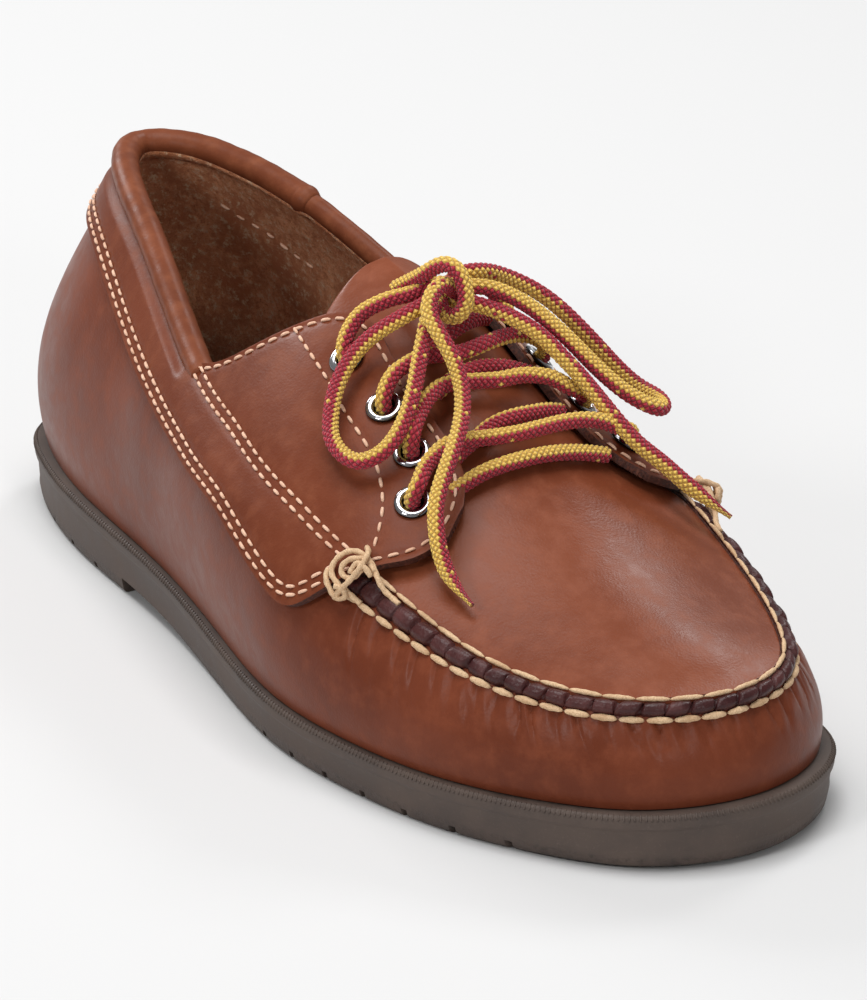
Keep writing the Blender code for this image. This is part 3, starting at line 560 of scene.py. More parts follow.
class Finish:
    """A material in the making: its colour grows layer by layer, then its relief.

    Its clouds are noise patterns, each from the size of its features in millimetres, its
    detail and roughness, and its distortion where it has one.
    """

    def __init__(self, name, clouds=(), colour=None, roughness=0.5, seed=None, **values):
        self.made = bpy.data.materials.new(name)
        self.made.use_nodes = True
        self.tree = self.made.node_tree
        self.inputs = self.tree.nodes["Principled BSDF"].inputs
        self.inputs["Roughness"].default_value = roughness
        for key, value in values.items():
            self.inputs[key.replace("_", " ")].default_value = value
        self.base = srgb(colour) if colour else None
        self.where = self.add("TexCoord", output="Object")
        if seed:
            self.where = self.add("Mapping", {"Vector": self.where, "Location": seed})
        self.clouds = []
        for size, *shape in clouds:
            inputs = {"Vector": self.where, "Scale": 1 / (size * MM)}
            inputs |= zip(("Detail", "Roughness", "Distortion"), shape)
            self.clouds.append(self.add("TexNoise", inputs, "Fac"))

    def add(self, kind, inputs=(), output=0, **settings):
        return add(self.tree, "ShaderNode" + kind, inputs, output, **settings)

    def tint(self, colour, share, *ends):
        """Lays a colour over the base by a share, eased first from two ends to two others."""
        if ends:
            share = self.add("MapRange", (share, *ends), **EASED)
        if isinstance(colour, str):
            colour = srgb(colour)
        self.base = self.add("Mix", {0: share, 6: self.base, 7: colour}, 2, data_type="RGBA")

    def rough(self, cloud, low, high):
        """Lets the roughness follow a cloud."""
        value = self.add("MapRange", (cloud, 0.3, 0.7, low, high), **EASED)
        self.tree.links.new(value, self.inputs["Roughness"])

    def done(self, *reliefs):
        """Adds the reliefs, each a height, its depth in millimetres and its strength."""
        under = {}
        for height, depth, strength in reliefs:
            inputs = {"Height": height, "Distance": depth * MM, "Strength": strength, **under}
            under = {"Normal": self.add("Bump", inputs)}
        self.tree.links.new(self.base, self.inputs["Base Color"])
        self.tree.links.new(under["Normal"], self.inputs["Normal"])
        return self.made


def leather(name, deep, middle, light, roughness, grain, **settings):
    """Oiled full-grain leather: cloudy colour, fine pores and a soft uneven shine."""
    clouds = (
        (34, 3.0, 0.5), (5.5, 4.0, 0.6), (1.1, 2.0, 0.6), (2.6, 3.0, 0.55), (14, 2.0, 0.55),
    )
    made = Finish(name, clouds, deep, **settings)
    cloud, mottle, fine, creases, swells = made.clouds
    made.tint(middle, cloud, 0.32, 0.70)
    made.tint(light, mottle, 0.40, 0.78, 0.0, 0.55)
    made.tint(deep, fine, 0.35, 0.75, 0.0, 0.16)
    made.rough(mottle, roughness - 0.05, roughness + 0.05)
    inputs = {"Vector": made.where, "Scale": 1 / (PORE * MM), "Smoothness": 0.4}
    pores = made.add("TexVoronoi", inputs, "Distance", feature="SMOOTH_F1")
    return made.done(
        (pores, 0.035 * grain, 0.7), (creases, 0.10 * grain, 0.5), (swells, 0.35, 0.35),
    )


def cut_leather(name, dark, light):
    """Raw cut edge: layered fibres along the edge."""
    made = Finish(name, ((0.7, 3.0, 0.7), (4.0, 3.0, 0.55)), dark, 0.62)
    fibres, patches = made.clouds
    made.tint(light, fibres, 0.4, 0.75)
    made.tint(dark, patches, 0.45, 0.7, 0.0, 0.5)
    return made.done((fibres, 0.2, 0.8))


def suede(name, dark, middle, light, nap=1.0, deep=(0.0, -1.0)):
    """Rough split leather: brushed nap in light and dark patches, and painted shade that darkens
    it down inside the shoe.
    """
    made = Finish(
        name, ((11, 3.0, 0.6, 0.4), (2.3, 5.0, 0.85), (0.8, 2.0, 0.7)), dark, 0.95,
        Specular_IOR_Level=0.08, Sheen_Weight=0.5, Sheen_Roughness=0.45,
        Sheen_Tint=srgb("e89c80"),
    )
    brushed, fluff, hair = made.clouds
    made.tint(middle, brushed, 0.32, 0.68)
    made.tint(light, fluff, 0.50, 0.66, 0.0, 0.85)
    made.tint(dark, fluff, 0.50, 0.38, 0.0, 0.9)
    made.tint(dark, hair, 0.5, 0.7, 0.0, 0.5)
    # painted shade: the sheet darkens toward near-black from the height deep[0] down to deep[1],
    # in millimetres
    height = made.add("SeparateXYZ", (made.where,), "Z")
    made.tint("1c0a05", height, deep[0] * MM, deep[1] * MM, 0.0, 0.72)
    return made.done((hair, 0.4 * nap, 0.9), (fluff, 2.2 * nap, 1.0), (brushed, 1.2 * nap, 0.6))


def rubber(name, dark, light):
    """Moulded sole rubber with a faint matt haze, scuffed near the floor."""
    clouds = ((16, 4.0, 0.6), (0.8, 3.0, 0.7), (1.6, 4.0, 0.75))
    made = Finish(name, clouds, dark, Specular_IOR_Level=0.42)
    haze, speck, grit = made.clouds
    height = made.add("SeparateXYZ", (made.where,), "Z")
    scuff = made.add("MapRange", (height, 4.2 * MM, 3.0 * MM, 0.0, 0.5), **EASED)
    bare = made.add("MapRange", (grit, 0.45, 0.7), **EASED)
    made.tint(light, haze, 0.3, 0.7)
    made.tint("7a6a60", speck, 0.55, 0.8, 0.0, 0.35)
    scraped, worn = (
        made.add("Math", (scuff, value), operation="MULTIPLY") for value in (bare, grit)
    )
    made.tint("2a2422", scraped)
    made.rough(haze, 0.50, 0.66)
    return made.done((speck, 0.06, 0.6), (worn, 0.9, 0.8))


def nickel(name):
    """Polished nickel plate, a little tarnished, with painted shade in the turned edges of the
    ring.
    """
    clouds = ((2.2, 3.0, 0.55), (0.9, 3.0, 0.55))
    made = Finish(name, clouds, "c4c4c8", Metallic=1.0)
    tarnish, dents = made.clouds
    made.tint("858084", tarnish, 0.4, 0.75, 0.0, 0.4)
    # painted shade: near-black where the ring's attribute marks its turned edges
    made.tint("241f20", made.add("Attribute", output="Fac", attribute_name="painted_shade"))
    made.rough(tarnish, 0.10, 0.22)
    return made.done((dents, 0.02, 0.4))


def waxed_thread(name, pale, deep):
    """Waxed linen thread: fine fibres and a little soil."""
    clouds = ((0.35, 2.0, 0.55), (7.0, 3.0, 0.55))
    made = Finish(name, clouds, deep, 0.7, Specular_IOR_Level=0.3)
    fibre, soil = made.clouds
    made.tint(pale, fibre, 0.30, 0.7, 0.45, 1.0)
    made.tint(deep, soil, 0.42, 0.70, 0.0, 0.55)
    return made.done((fibre, 0.03, 0.4))


def braided(name):
    """Round lace braided in two colours: one half red, the other yellow, with flecks, and painted
    shade in the grooves between its strands.

    The piece's map holds turns round the lace in U and millimetres along it in V.
    """
    look = {"Specular_IOR_Level": 0.25, "Sheen_Weight": 0.25}
    made = Finish(name, [(0.4, 2.0, 0.55)], roughness=0.78, **look)
    chart = made.add("TexCoord", output="UV")
    turn, along = (made.add("SeparateXYZ", (chart,), axis) for axis in "XY")
    turn = made.add("Math", (turn, float(BRAID_STRANDS)), operation="MULTIPLY")
    along = made.add("Math", (along, BRAID_PITCH), operation="DIVIDE")
    cells, rims = [], []
    for sign in ("ADD", "SUBTRACT"):
        strand = made.add("Math", (along, turn), operation=sign)
        cells.append(made.add("Math", (strand,), operation="FLOOR"))
        off = made.add("Math", (strand,), operation="FRACT")
        off = made.add("Math", (off, 0.5), operation="SUBTRACT")
        rims.append(made.add("Math", (off,), operation="ABSOLUTE"))
    rim = made.add("Math", rims, operation="MAXIMUM")
    side = made.add("Math", cells, operation="SUBTRACT")
    side = made.add("Math", (side, 2.0 * BRAID_STRANDS), operation="DIVIDE")
    whole = made.add("Math", (side,), operation="FLOOR")
    side = made.add("Math", (side, whole), operation="SUBTRACT")
    pair = {"Vector": made.add("CombineXYZ", cells)}
    chance = made.add("TexWhiteNoise", pair, "Value", noise_dimensions="3D")
    fleck = made.add("Math", (chance, 0.985), operation="GREATER_THAN")
    yellow = made.add("Math", (side, 0.5), operation="LESS_THAN")
    yellow = made.add("Math", (yellow, fleck), operation="SUBTRACT")
    yellow = made.add("Math", (yellow,), operation="ABSOLUTE")
    fibre, = made.clouds
    bands = {}
    for band, share, one, other in (
        ("gold", fibre, "eeb02a", "ffe884"), ("groove_shade", yellow, "420a16", "94501a"),
        ("red", fibre, "a01c30", "cc3c4c"),
    ):
        made.base = srgb(one)
        made.tint(other, share)
        bands[band] = made.base
    made.tint(bands["gold"], yellow)
    # painted shade: the grooves between strands darken toward dark red or brown
    made.tint(bands["groove_shade"], rim, 0.28, 0.5, 0.0, 0.62)
    crown = made.add("MapRange", (rim, 0.12, 0.5, 1.0, 0.0), **EASED)
    return made.done((crown, 0.35, 0.9), (fibre, 0.10, 0.7))


# ---------------------------------------------------------------- mesh tools


def link(name, data):
    made = bpy.data.objects.new(name, data)
    bpy.context.scene.collection.objects.link(made)
    return made


def to_mesh(bm, mesh, finishes=()):
    """Writes what was built into a mesh, with its finishes."""
    bm.to_mesh(mesh)
    bm.free()
    for finish in finishes:
        mesh.materials.append(finish)
    return mesh


def grid_mesh(name, points, finish, closed=False, facing=None, chart=None):
    """Mesh of quads over rows of points in millimetres, its coincident points merged.

    Its faces turn to the normals in facing, or outward from a closed shape without them.
    """
    rows, count = points.shape[:2]
    index = np.arange(rows * count).reshape(rows, count)
    left = index if closed else index[:, :-1]
    right = np.roll(index, -1, axis=1) if closed else index[:, 1:]
    quads = np.stack([left[:-1], right[:-1], right[1:], left[1:]], -1).reshape(-1, 4)
    if facing is not None:
        ways = np.broadcast_to(facing, points.shape).reshape(-1, 3)
        a, b, c, d = points.reshape(-1, 3)[quads].transpose(1, 0, 2)
        if (np.cross(c - a, d - b) * ways[quads[:, 0]]).sum() < 0:
            quads = quads[:, ::-1]
    mesh = bpy.data.meshes.new(name)
    mesh.from_pydata(place(points).reshape(-1, 3).tolist(), [], quads.tolist())
    if chart is not None:
        corner = np.zeros(len(mesh.loops), int)
        mesh.loops.foreach_get("vertex_index", corner)
        layer = mesh.uv_layers.new(name="UVMap")
        layer.data.foreach_set("uv", chart.reshape(-1, 2)[corner].astype(np.float32).ravel())
    bm = bmesh.new()
    bm.from_mesh(mesh)
    bmesh.ops.remove_doubles(bm, verts=bm.verts, dist=MERGE * MM)
    bmesh.ops.dissolve_degenerate(bm, edges=bm.edges, dist=SLIVER * MM)
    if facing is None:
        bmesh.ops.recalc_face_normals(bm, faces=bm.faces)
    to_mesh(bm, mesh, finish if isinstance(finish, list) else [finish])
    mesh.shade_smooth()
    return link(name, mesh)


def bake(piece, sharp=None):
    """Turns the piece's modifiers into its plain mesh."""
    graph = bpy.context.evaluated_depsgraph_get()
    mesh = bpy.data.meshes.new_from_object(piece.evaluated_get(graph), depsgraph=graph)
    piece.modifiers.clear()
    piece.data = mesh
    if sharp is not None:
        mesh.set_sharp_from_angle(angle=math.radians(sharp))
    return piece


def modify(piece, kind, **settings):
    """A modifier with its settings."""
    made = piece.modifiers.new(kind.lower(), kind)
    for name, value in settings.items():
        setattr(made, name, value)
    return made


def cut_away(piece, cutter, sharp=None):
    """Cuts one piece by another, which is used up."""
    modify(piece, "BOOLEAN", operation="DIFFERENCE", solver="EXACT", object=cutter)
    bake(piece, sharp)
    bpy.data.objects.remove(cutter)


def thicken(piece, thickness, rim=0, back=0, rounding=0.0):
    """Gives a sheet its thickness, with its own finish on the rim and the back."""
    modify(
        piece, "SOLIDIFY", thickness=thickness * MM, offset=-1.0, use_even_offset=True,
        thickness_clamp=0, material_offset=back, material_offset_rim=rim,
    )
    if rounding:
        modify(
            piece, "BEVEL", width=rounding * MM, segments=3, limit_method="ANGLE",
            angle_limit=math.radians(50), use_clamp_overlap=True,
        )
    return bake(piece, 60)


def settle(piece, slot, *nodes):
    """Attaches a finished piece to the root body and hides the model's parts that it replaces."""
    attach(piece, "root")
    if nodes:
        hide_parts(*nodes)
    return piece


def capped(rings, middles=None):
    """Rings with both ends closed over their middles."""
    middles = rings.mean(1) if middles is None else middles
    first, last = (np.repeat(middles[[i], None], rings.shape[1], 1) for i in (0, -1))
    return np.concatenate([first, rings, last])


def rings_round(path, side, up, angle, reach):
    """Points at angles and distances round a line."""
    spoke = side[:, None] * np.cos(angle)[..., None] + up[:, None] * np.sin(angle)[..., None]
    return path[:, None] + spoke * reach[..., None]


def turned(profile, count):
    """Rings of a turned shape about Z, from radii and heights."""
    radius, height = np.array(profile).T[..., None]
    turn = np.linspace(0, 2 * math.pi, count, endpoint=False)
    rings = (radius * np.cos(turn), radius * np.sin(turn), height + 0 * turn)
    return np.stack(rings, -1) + MIDDLE


def hollow(points, path, width, depth, normals):
    """Sinks points near a path in millimetres along their normals."""
    flat = points.reshape(-1, 3)
    nearest = np.full(len(flat), 1e9)
    for start in range(0, len(path), 60):
        part = path[start : start + 60]
        gap = np.linalg.norm(flat[:, None, :] - part[None], axis=-1).min(axis=1)
        nearest = np.minimum(nearest, gap)
    sink = depth * np.exp(-((nearest / width) ** 2))
    return points - normals * sink.reshape(points.shape[:2])[..., None]


# ---------------------------------------------------------------- wrap, plug and quarters


def pleats(at, rise):
    """Gathers in the toe's wall: soft uneven folds, each with a crease at its side."""
    inside = np.minimum(at - KNOT_OUTER, KNOT_INNER - at)
    where = smooth((inside + 2) / 12) * smooth((rise - 0.26) / 0.5) * smooth((1.02 - rise) / 0.12)
    drift = 0.22 * waves(at + 14 * rise, 4.0, (31.0, 13.0, 7.0))
    phase = math.pi * (at / PLEAT_PITCH + drift)
    each = np.floor(phase / math.pi)
    fold = np.abs(np.sin(phase)) ** 0.85 - 0.65
    small = np.abs(np.sin(2.0 * phase + 0.9)) - 0.6
    strength = 0.75 + 0.30 * waves(at, 3.0) + 0.20 * np.sin(each * 2.7)
    near = smooth((rise - 0.46 - 0.10 * np.sin(each * 4.1)) / 0.32)
    return where * strength * (fold * (0.25 + 0.80 * near) + 0.28 * small * near)


def make_wrap(face, rim, lining):
    """Wall of leather round the whole foot, with its gathers and a slight unevenness."""
    at = np.concatenate([
        steps_between(0, KNOT_OUTER, 2.2)[:-1],
        steps_between(KNOT_OUTER, KNOT_INNER, 0.5)[:-1],
        steps_between(KNOT_INNER, AROUND, 2.2)[:-1],
    ])
    top = np.where((at > KNOT_OUTER) & (at < KNOT_INNER), 0.995, wall_top(at) - 0.004)
    rise = np.linspace(0, 1, 46)[:, None] * top
    at = at + 0 * rise
    ease = 0.25 * waves(at, 1.0, (90, 47, 31)) * np.sin(math.pi * np.clip(rise, 0, 1)) ** 2
    points = off_skin(at, rise, pleats(at, rise) + ease)
    facing = skin_normal(at, rise)
    piece = grid_mesh("wrap", points, [face, rim, lining], closed=True, facing=facing)
    return settle(thicken(piece, WRAP_FACE, rim=1, back=2), "upper_leather")


def side_stations(spine_x, inner):
    """Stations whose rays end at places on the spine, on one side."""
    ends = (TOE, CORNER_INNER) if inner else (CORNER_OUTER - 12, TOE)
    side = np.linspace(*ends, 3000)
    reached = SECTION(side)[:, COLUMN["spine_x"]]
    order = np.argsort(reached)
    return np.interp(spine_x, reached[order], side[order])


def dome(points, known, about, degree):
    """Smooth dome over the plan, fitted to the heights of the known points."""
    powers = [(i, j) for i in range(degree + 1) for j in range(degree + 1 - i)]

    def terms(spot):
        x, y = ((spot[..., i] - about[i]) / DOME_REACH for i in (0, 1))
        return np.stack([x**i * y**j for i, j in powers], -1)

    shape = np.linalg.lstsq(terms(points[known]), points[known][..., 2], rcond=None)[0]
    return lambda spot: terms(spot) @ shape


def smooth_plug(points, rise):
    """Eases the plug's heights to one dome away from its seam."""
    x = points[..., 0]
    known = (x > DOME_START - 25) & (rise > 1.02) & (rise < 1.9)
    share = smooth((x - DOME_START) / 14) * smooth((rise - 1.05) / 0.45)
    over = dome(points, known, (DOME_MIDDLE, 0), 6)(points)
    points[..., 2] += (over - points[..., 2]) * share


def round_tongue(points, count):
    """Lays the tongue's end columns to one rounded outline over the same instep."""
    middle = SPINE_VALUES[0, 1]
    height = dome(points, points[..., 0] < TONGUE_BROAD + 25, (TONGUE_BROAD, middle), 5)
    turn = np.append(0.0, np.linspace(0.16, math.pi / 2, count - 1))
    back = np.array([TONGUE_END, middle])
    for columns in (np.arange(count), points.shape[1] - 1 - np.arange(count)):
        base = points[:, columns[-1]].copy()
        foot, top = base[0, :2], base[-1, :2]
        share = np.linalg.norm(base[:, :2] - foot, axis=1) / np.linalg.norm(top - foot)
        bow = base[:, :2] - foot - (top - foot) * share[:, None]
        rest = base[:, 2] - height(base)
        for column, angle in zip(columns, turn):
            grow = np.array([1 - abs(math.cos(angle)) ** BLUNT, math.sin(angle) ** BLUNT])
            rim, spine = back + (foot - back) * grow, back + (top - back) * grow
            spot = rim + (spine - rim) * share[:, None] + bow * grow[1]
            points[:, column, :2] = spot
            points[:, column, 2] = height(spot) + rest * grow[1]


def make_plug_and_tongue(face, rim, back):
    """Plug over the toes and the tongue behind it, one piece of leather."""
    last = float(SECTION(float(TOE))[COLUMN["spine_x"]])
    tip = TONGUE_BROAD - (TONGUE_BROAD - TONGUE_TIP) * np.cos(np.linspace(0.16, math.pi / 2, 30))
    spine_x = np.concatenate([tip, steps_between(TONGUE_BROAD, last, 1.1)[1:-1]])
    inner_at = side_stations(spine_x, True)
    at = np.concatenate([side_stations(spine_x, False), [TOE], inner_at[::-1]])
    here = np.concatenate([spine_x, [last], spine_x[::-1]])
    round_end = np.clip((TONGUE_BROAD - here) / (TONGUE_BROAD - TONGUE_TIP), 0, 1)
    narrow = 2 - 0.59 * np.sqrt(1 - round_end**2)
    low = narrow + (1 - narrow) * smooth((here - 207) / 5)
    rise = low + (2 - low) * np.linspace(0, 1, 50)[:, None]
    uneven = 0.25 * waves(at, 5.0, (80, 43, 29)) * smooth((rise - 1) / 0.5)
    points = off_skin(at + 0 * rise, rise, uneven - GAP - 0.35 * smooth((212 - here) / 6))
    points[-1] = (points[-1] + points[-1, ::-1]) / 2
    smooth_plug(points, rise)
    round_tongue(points, len(tip))
    points[-1] = (points[-1] + points[-1, ::-1]) / 2
    facing = skin_normal(at, rise)
    piece = grid_mesh("plug_and_tongue", points, [face, rim, back], facing=facing)
    thicken(piece, WRAP_FACE, rim=1, back=2, rounding=0.6)
    return settle(piece, "upper_leather", "upper", "tongue")


def quarter_lines(text, size):
    """Cross lines of a quarter at close steps, its top tucked under the roll."""
    ends = table(QUARTER_COLUMNS, text)
    run = chord_knots((skin(ends[:, 0], ends[:, 1]) + skin(ends[:, 2], ends[:, 3])) / 2)
    line = Spline(run, ends)(steps_between(0, run[-1], size))
    tucked = smooth((behind_corner(line[:, 2]) - 1) / 5) * (line[:, 3] < 1.05)
    line[:, 3] += (under_roll(line[:, 2]) + 0.035 - line[:, 3]) * tucked
    return line


def seam_line(text):
    """Stitch line through places on the form, at even steps."""
    values = table(LINE_COLUMNS, text)
    points = on_quarter(*values.T)
    run = chord_knots(points)
    at = steps_between(0, run[-1], 1.0)
    return lay_on(Spline(run, values)(at), Spline(run, points)(at))


def quarter_seams(text, back_seam, facing, turn, knot):
    """All the stitch lines of one quarter, as paths on the form."""
    line = quarter_lines(text, 2.0)
    front = np.linspace(line[-1, :2], line[-1, 2:], 12)[1:-1]
    rim = soften(resample(np.vstack([line[:, :2], front, line[::-1, 2:]]), 1.5), 10)
    edge_seam = resample(soften(inset(rim, EDGE_SEAM, turn), 6), 1.0)
    tucked = (behind_corner(edge_seam[:, 0]) > -3.5) & (edge_seam[:, 1] > 0.9)
    low = soften(resample(line[:, :2], 1.5), 6)
    second = resample(inset(low, SECOND_SEAM, turn), 1.0)
    stop = np.argmin(np.linalg.norm(second - knot, axis=1))
    back = seam_line(back_seam)
    pair = [inset(back, side * PAIR_APART / 2) for side in (1, -1)]
    return [edge_seam[: np.argmax(tucked)], second[:stop], *pair, seam_line(facing)]


def make_quarter(name, text, seams, holes, finishes, node):
    """Quarter with its flap, dented along its seams and pierced for its eyelets."""
    line = quarter_lines(text, 1.3)
    share = np.linspace(0, 1, 64)[:, None]
    at, rise = (line[:, i] + (line[:, i + 2] - line[:, i]) * share for i in (0, 1))
    points, normals = on_quarter(at, rise), skin_normal(at, rise)
    for seam in seams:
        path = on_quarter(*seam[::2].T)
        points = hollow(points, path, SEAM_DENT, SEAM_DENT_DEPTH, normals)
    points = hollow(points, on_quarter(*holes.T), HOLE_DENT, HOLE_DENT_DEPTH, normals)
    tuck = smooth((behind_corner(at) + 1) / 4) * smooth((rise - under_roll(at) + 0.03) / 0.05)
    points = points - normals * (tuck * 1.2)[..., None]
    piece = grid_mesh(name, points, finishes, facing=normals)
    thicken(piece, OVERLAY, rim=1, back=2, rounding=0.45)
    bm = bmesh.new()
    for at, rise in holes:
        facing = Vector(skin_normal(at, rise)).to_track_quat("Z", "Y").to_matrix().to_4x4()
        spot = Matrix.Translation(Vector(place(on_quarter(at, rise, -OVERLAY / 2))))
        wide = (EYELET_HOLE + HOLE_SPARE) * MM
        bmesh.ops.create_cone(
            bm, segments=32, cap_ends=True, depth=PUNCH_DEPTH * MM, radius1=wide, radius2=wide,
            matrix=spot @ facing,
        )
    cut_away(piece, link("punch", to_mesh(bm, bpy.data.meshes.new("punch"))), 60)
    return settle(piece, "quarter_leather", node)


# ---------------------------------------------------------------- repeated pieces


def repeat_tree(name, along_path):
    """Geometry Nodes: sets a small piece at even steps along a path, or at each point.

    The path carries an attribute "out", the way that the piece's top faces; lone points
    carry "ahead", the way that it runs, as well.
    """
    tree = bpy.data.node_groups.new(name, "GeometryNodeTree")
    kinds = {
        "Geometry": "Geometry", "Piece": "Object", "Finish": "Material", "Pitch": "Float",
        "Uneven": "Float",
    }
    for label, kind in kinds.items():
        tree.interface.new_socket(label, in_out="INPUT", socket_type="NodeSocket" + kind)
    tree.interface.new_socket("Geometry", in_out="OUTPUT", socket_type="NodeSocketGeometry")
    given = add(tree, "NodeGroupInput").node.outputs
    reads, vector = "GeometryNodeInputNamedAttribute", {"data_type": "FLOAT_VECTOR"}
    if along_path:
        curve = add(tree, "GeometryNodeMeshToCurve", {"Mesh": given["Geometry"]})
        inputs = {"Curve": curve, "Length": given["Pitch"]}
        spots = add(tree, "GeometryNodeResampleCurve", inputs, mode="LENGTH")
        forward = add(tree, "GeometryNodeInputTangent")
    else:
        spots = add(tree, "GeometryNodeMeshToPoints", {"Mesh": given["Geometry"]})
        forward = add(tree, reads, {"Name": "ahead"}, **vector)
    inputs = {
        "Primary Axis": add(tree, reads, {"Name": "out"}, **vector), "Secondary Axis": forward,
    }
    axes = {"primary_axis": "Z", "secondary_axis": "X"}
    turn = add(tree, "FunctionNodeAxesToRotation", inputs, **axes)
    least, most = (
        add(tree, "ShaderNodeMath", (1.0, given["Uneven"]), operation=sign)
        for sign in ("SUBTRACT", "ADD")
    )
    inputs = {2: least, 3: most, "Seed": 7}
    size = add(tree, "FunctionNodeRandomValue", inputs, 1, data_type="FLOAT")
    piece = add(tree, "GeometryNodeObjectInfo", {"Object": given["Piece"]}, "Geometry")
    inputs = {"Points": spots, "Instance": piece, "Rotation": turn, "Scale": size}
    placed = add(tree, "GeometryNodeInstanceOnPoints", inputs)
    real = add(tree, "GeometryNodeRealizeInstances", {"Geometry": placed})
    inputs = {"Geometry": real, "Material": given["Finish"]}
    add(tree, "NodeGroupOutput", {0: add(tree, "GeometryNodeSetMaterial", inputs)})
    return tree


def repeat(name, paths, normals, pattern, finish, pitch=1.0, uneven=0.0, ahead=None):
    """Small pieces along paths in millimetres, or at each of their points with a way ahead."""
    tree = PATH_TREE if ahead is None else POINT_TREE
    ends = np.cumsum([len(path) for path in paths])
    joins = [(i, i + 1) for i in range(ends[-1]) if ahead is None and i + 1 not in ends]
    mesh = bpy.data.meshes.new(name)
    mesh.from_pydata(place(np.vstack(paths)).tolist(), joins, [])
    for label, values in (("out", normals), ("ahead", ahead)):
        if values is not None:
            layer = mesh.attributes.new(label, "FLOAT_VECTOR", "POINT")
            layer.data.foreach_set("vector", np.vstack(values).astype(np.float32).ravel())
    piece = link(name, mesh)
    run = modify(piece, "NODES", node_group=tree)
    values = {"Piece": pattern, "Finish": finish, "Pitch": pitch * MM, "Uneven": uneven}
    for item in tree.interface.items_tree:
        if item.in_out == "INPUT" and item.name in values:
            run[item.identifier] = values[item.name]
    bake(piece)
    piece.data.shade_smooth()
    return piece


def set_aside(name, points, finish, **settings):
    """A small piece to repeat, kept out of the scene."""
    piece = grid_mesh(name, points, finish, closed=True, **settings)
    bpy.context.scene.collection.objects.unlink(piece)
    return piece


def stitch_shape(name, length, radius, dive, sides, rings, point, lumps=0.0):
    """One stitch along X, its ends turned down into the leather, with a twist to its ply."""
    t = np.linspace(-1, 1, rings)[:, None]
    turn = np.linspace(0, 2 * math.pi, sides, endpoint=False)
    body = radius * np.sqrt(np.clip(1 - np.abs(t) ** point, 0, 1))
    body = body * (1 + lumps * np.cos(2 * turn + math.pi * t * length / STITCH_PLY))
    height = 0.85 * body * np.sin(turn) - dive * t**4 + 0.25 * radius
    points = np.stack([t * length / 2 + 0 * turn, body * np.cos(turn), height], -1)
    return set_aside(name, points + MIDDLE, THREAD)


def rib_shape():
    """One rib of the sole's rim, along Y."""
    turn = np.linspace(0, math.pi, 5)
    t = np.linspace(-1, 1, 6)[:, None]
    body = np.sqrt(np.clip(1 - t**4, 0, 1))
    points = (0.30 * np.cos(turn) * body, 0.95 * t + 0 * turn, 0.34 * np.sin(turn) * body - 0.10)
    return set_aside("rib", np.stack(points, -1) + MIDDLE, RUBBER)


def ring_shape():
    """Rolled eyelet ring with its barrel, facing Z, with painted shade marked on its outer edge
    and inside its barrel.
    """
    rings = turned([
        (2.35, -2.4), (2.55, -2.4), (2.75, -0.6), (3.2, 0.02), (4.25, 0.02), (4.4, 0.22),
        (4.32, 0.52), (4.0, 0.80), (3.5, 0.95), (3.0, 0.88), (2.6, 0.62), (2.38, 0.2),
        (2.32, -0.6),
    ], 56)
    piece = set_aside("ring", np.concatenate([rings, rings[:1]]), NICKEL)
    spot = np.array([v.co for v in piece.data.vertices]) / MM
    wide = np.hypot(spot[:, 0], spot[:, 1])
    # painted shade: 1 at the ring's outer edge against the leather and inside its barrel
    painted_shade = np.clip(smooth((wide - 4.22) / 0.12) + smooth((2.66 - wide) / 0.2), 0, 1)
    layer = piece.data.attributes.new("painted_shade", "FLOAT", "POINT")
    layer.data.foreach_set("value", painted_shade.astype(np.float32))
    return piece


def shade_cup_shape():
    """Painted shade inside an eyelet's barrel: a near-black cup that stands in for the shadow in
    the hole.
    """
    rings = turned([(2.30, 0.30), (2.22, -0.30), (2.20, -3.6), (0.0, -3.6)], 32)
    return set_aside("throat", rings, EYELET_SHADE_PAINT, facing=MIDDLE - rings)


def make_eyelets(name, holes, nodes):
    points, normals = on_quarter(*holes.T, 0.12), skin_normal(*holes.T)
    ahead = unit(skin(holes[:, 0] + 1, holes[:, 1]) - skin(*holes.T))
    rings = repeat(name, [points], [normals], RING, NICKEL, ahead=[ahead])
    settle(rings, "eyelet_metal", *nodes)
    # cups of painted shade inside the eyelets
    shade_cups = repeat(name + "_inside", [points], [normals], SHADE_CUP, EYELET_SHADE_PAINT, ahead=[ahead])
    settle(shade_cups, "eyelet_metal")


def make_stitching(name, seams):
    paths = [on_quarter(*seam.T, 0.02) for seam in seams]
    normals = [skin_normal(*seam.T) for seam in seams]
    settle(repeat(name, paths, normals, STITCH, FINE_THREAD, STITCH_PITCH, 0.06), "lace")


# ---------------------------------------------------------------- laces


def cord_frames(path, lead):
    """Two side directions at each point of a path, carried along it without twist."""
    ahead = unit(np.gradient(path, axis=0))
    sides = [lead]
    for way in ahead:
        sides.append(unit(sides[-1] - way * (sides[-1] @ way)))
    sides = np.array(sides[1:])
    return sides, np.cross(ahead, sides)


def even_path(points, size):
    """Smooth curve through points at even steps, and the length along it."""
    run = chord_knots(points)
    fine = Spline(run, points)(np.linspace(0, run[-1], 1200))
    length = chord_knots(fine)
    at = steps_between(0, length[-1], size)
    return np.stack([np.interp(at, length, axis) for axis in fine.T], 1), at


def relief(turns, along):
    """Height of the braid's strands, -1 to 1."""
    ways = (along / BRAID_PITCH + sign * turns * BRAID_STRANDS for sign in (1, -1))
    a, b = (np.abs(way - np.floor(way) - 0.5) * 2 for way in ways)
    return 1 - 1.6 * np.maximum(a, b) ** 3 - 0.4 * np.minimum(a, b) ** 2


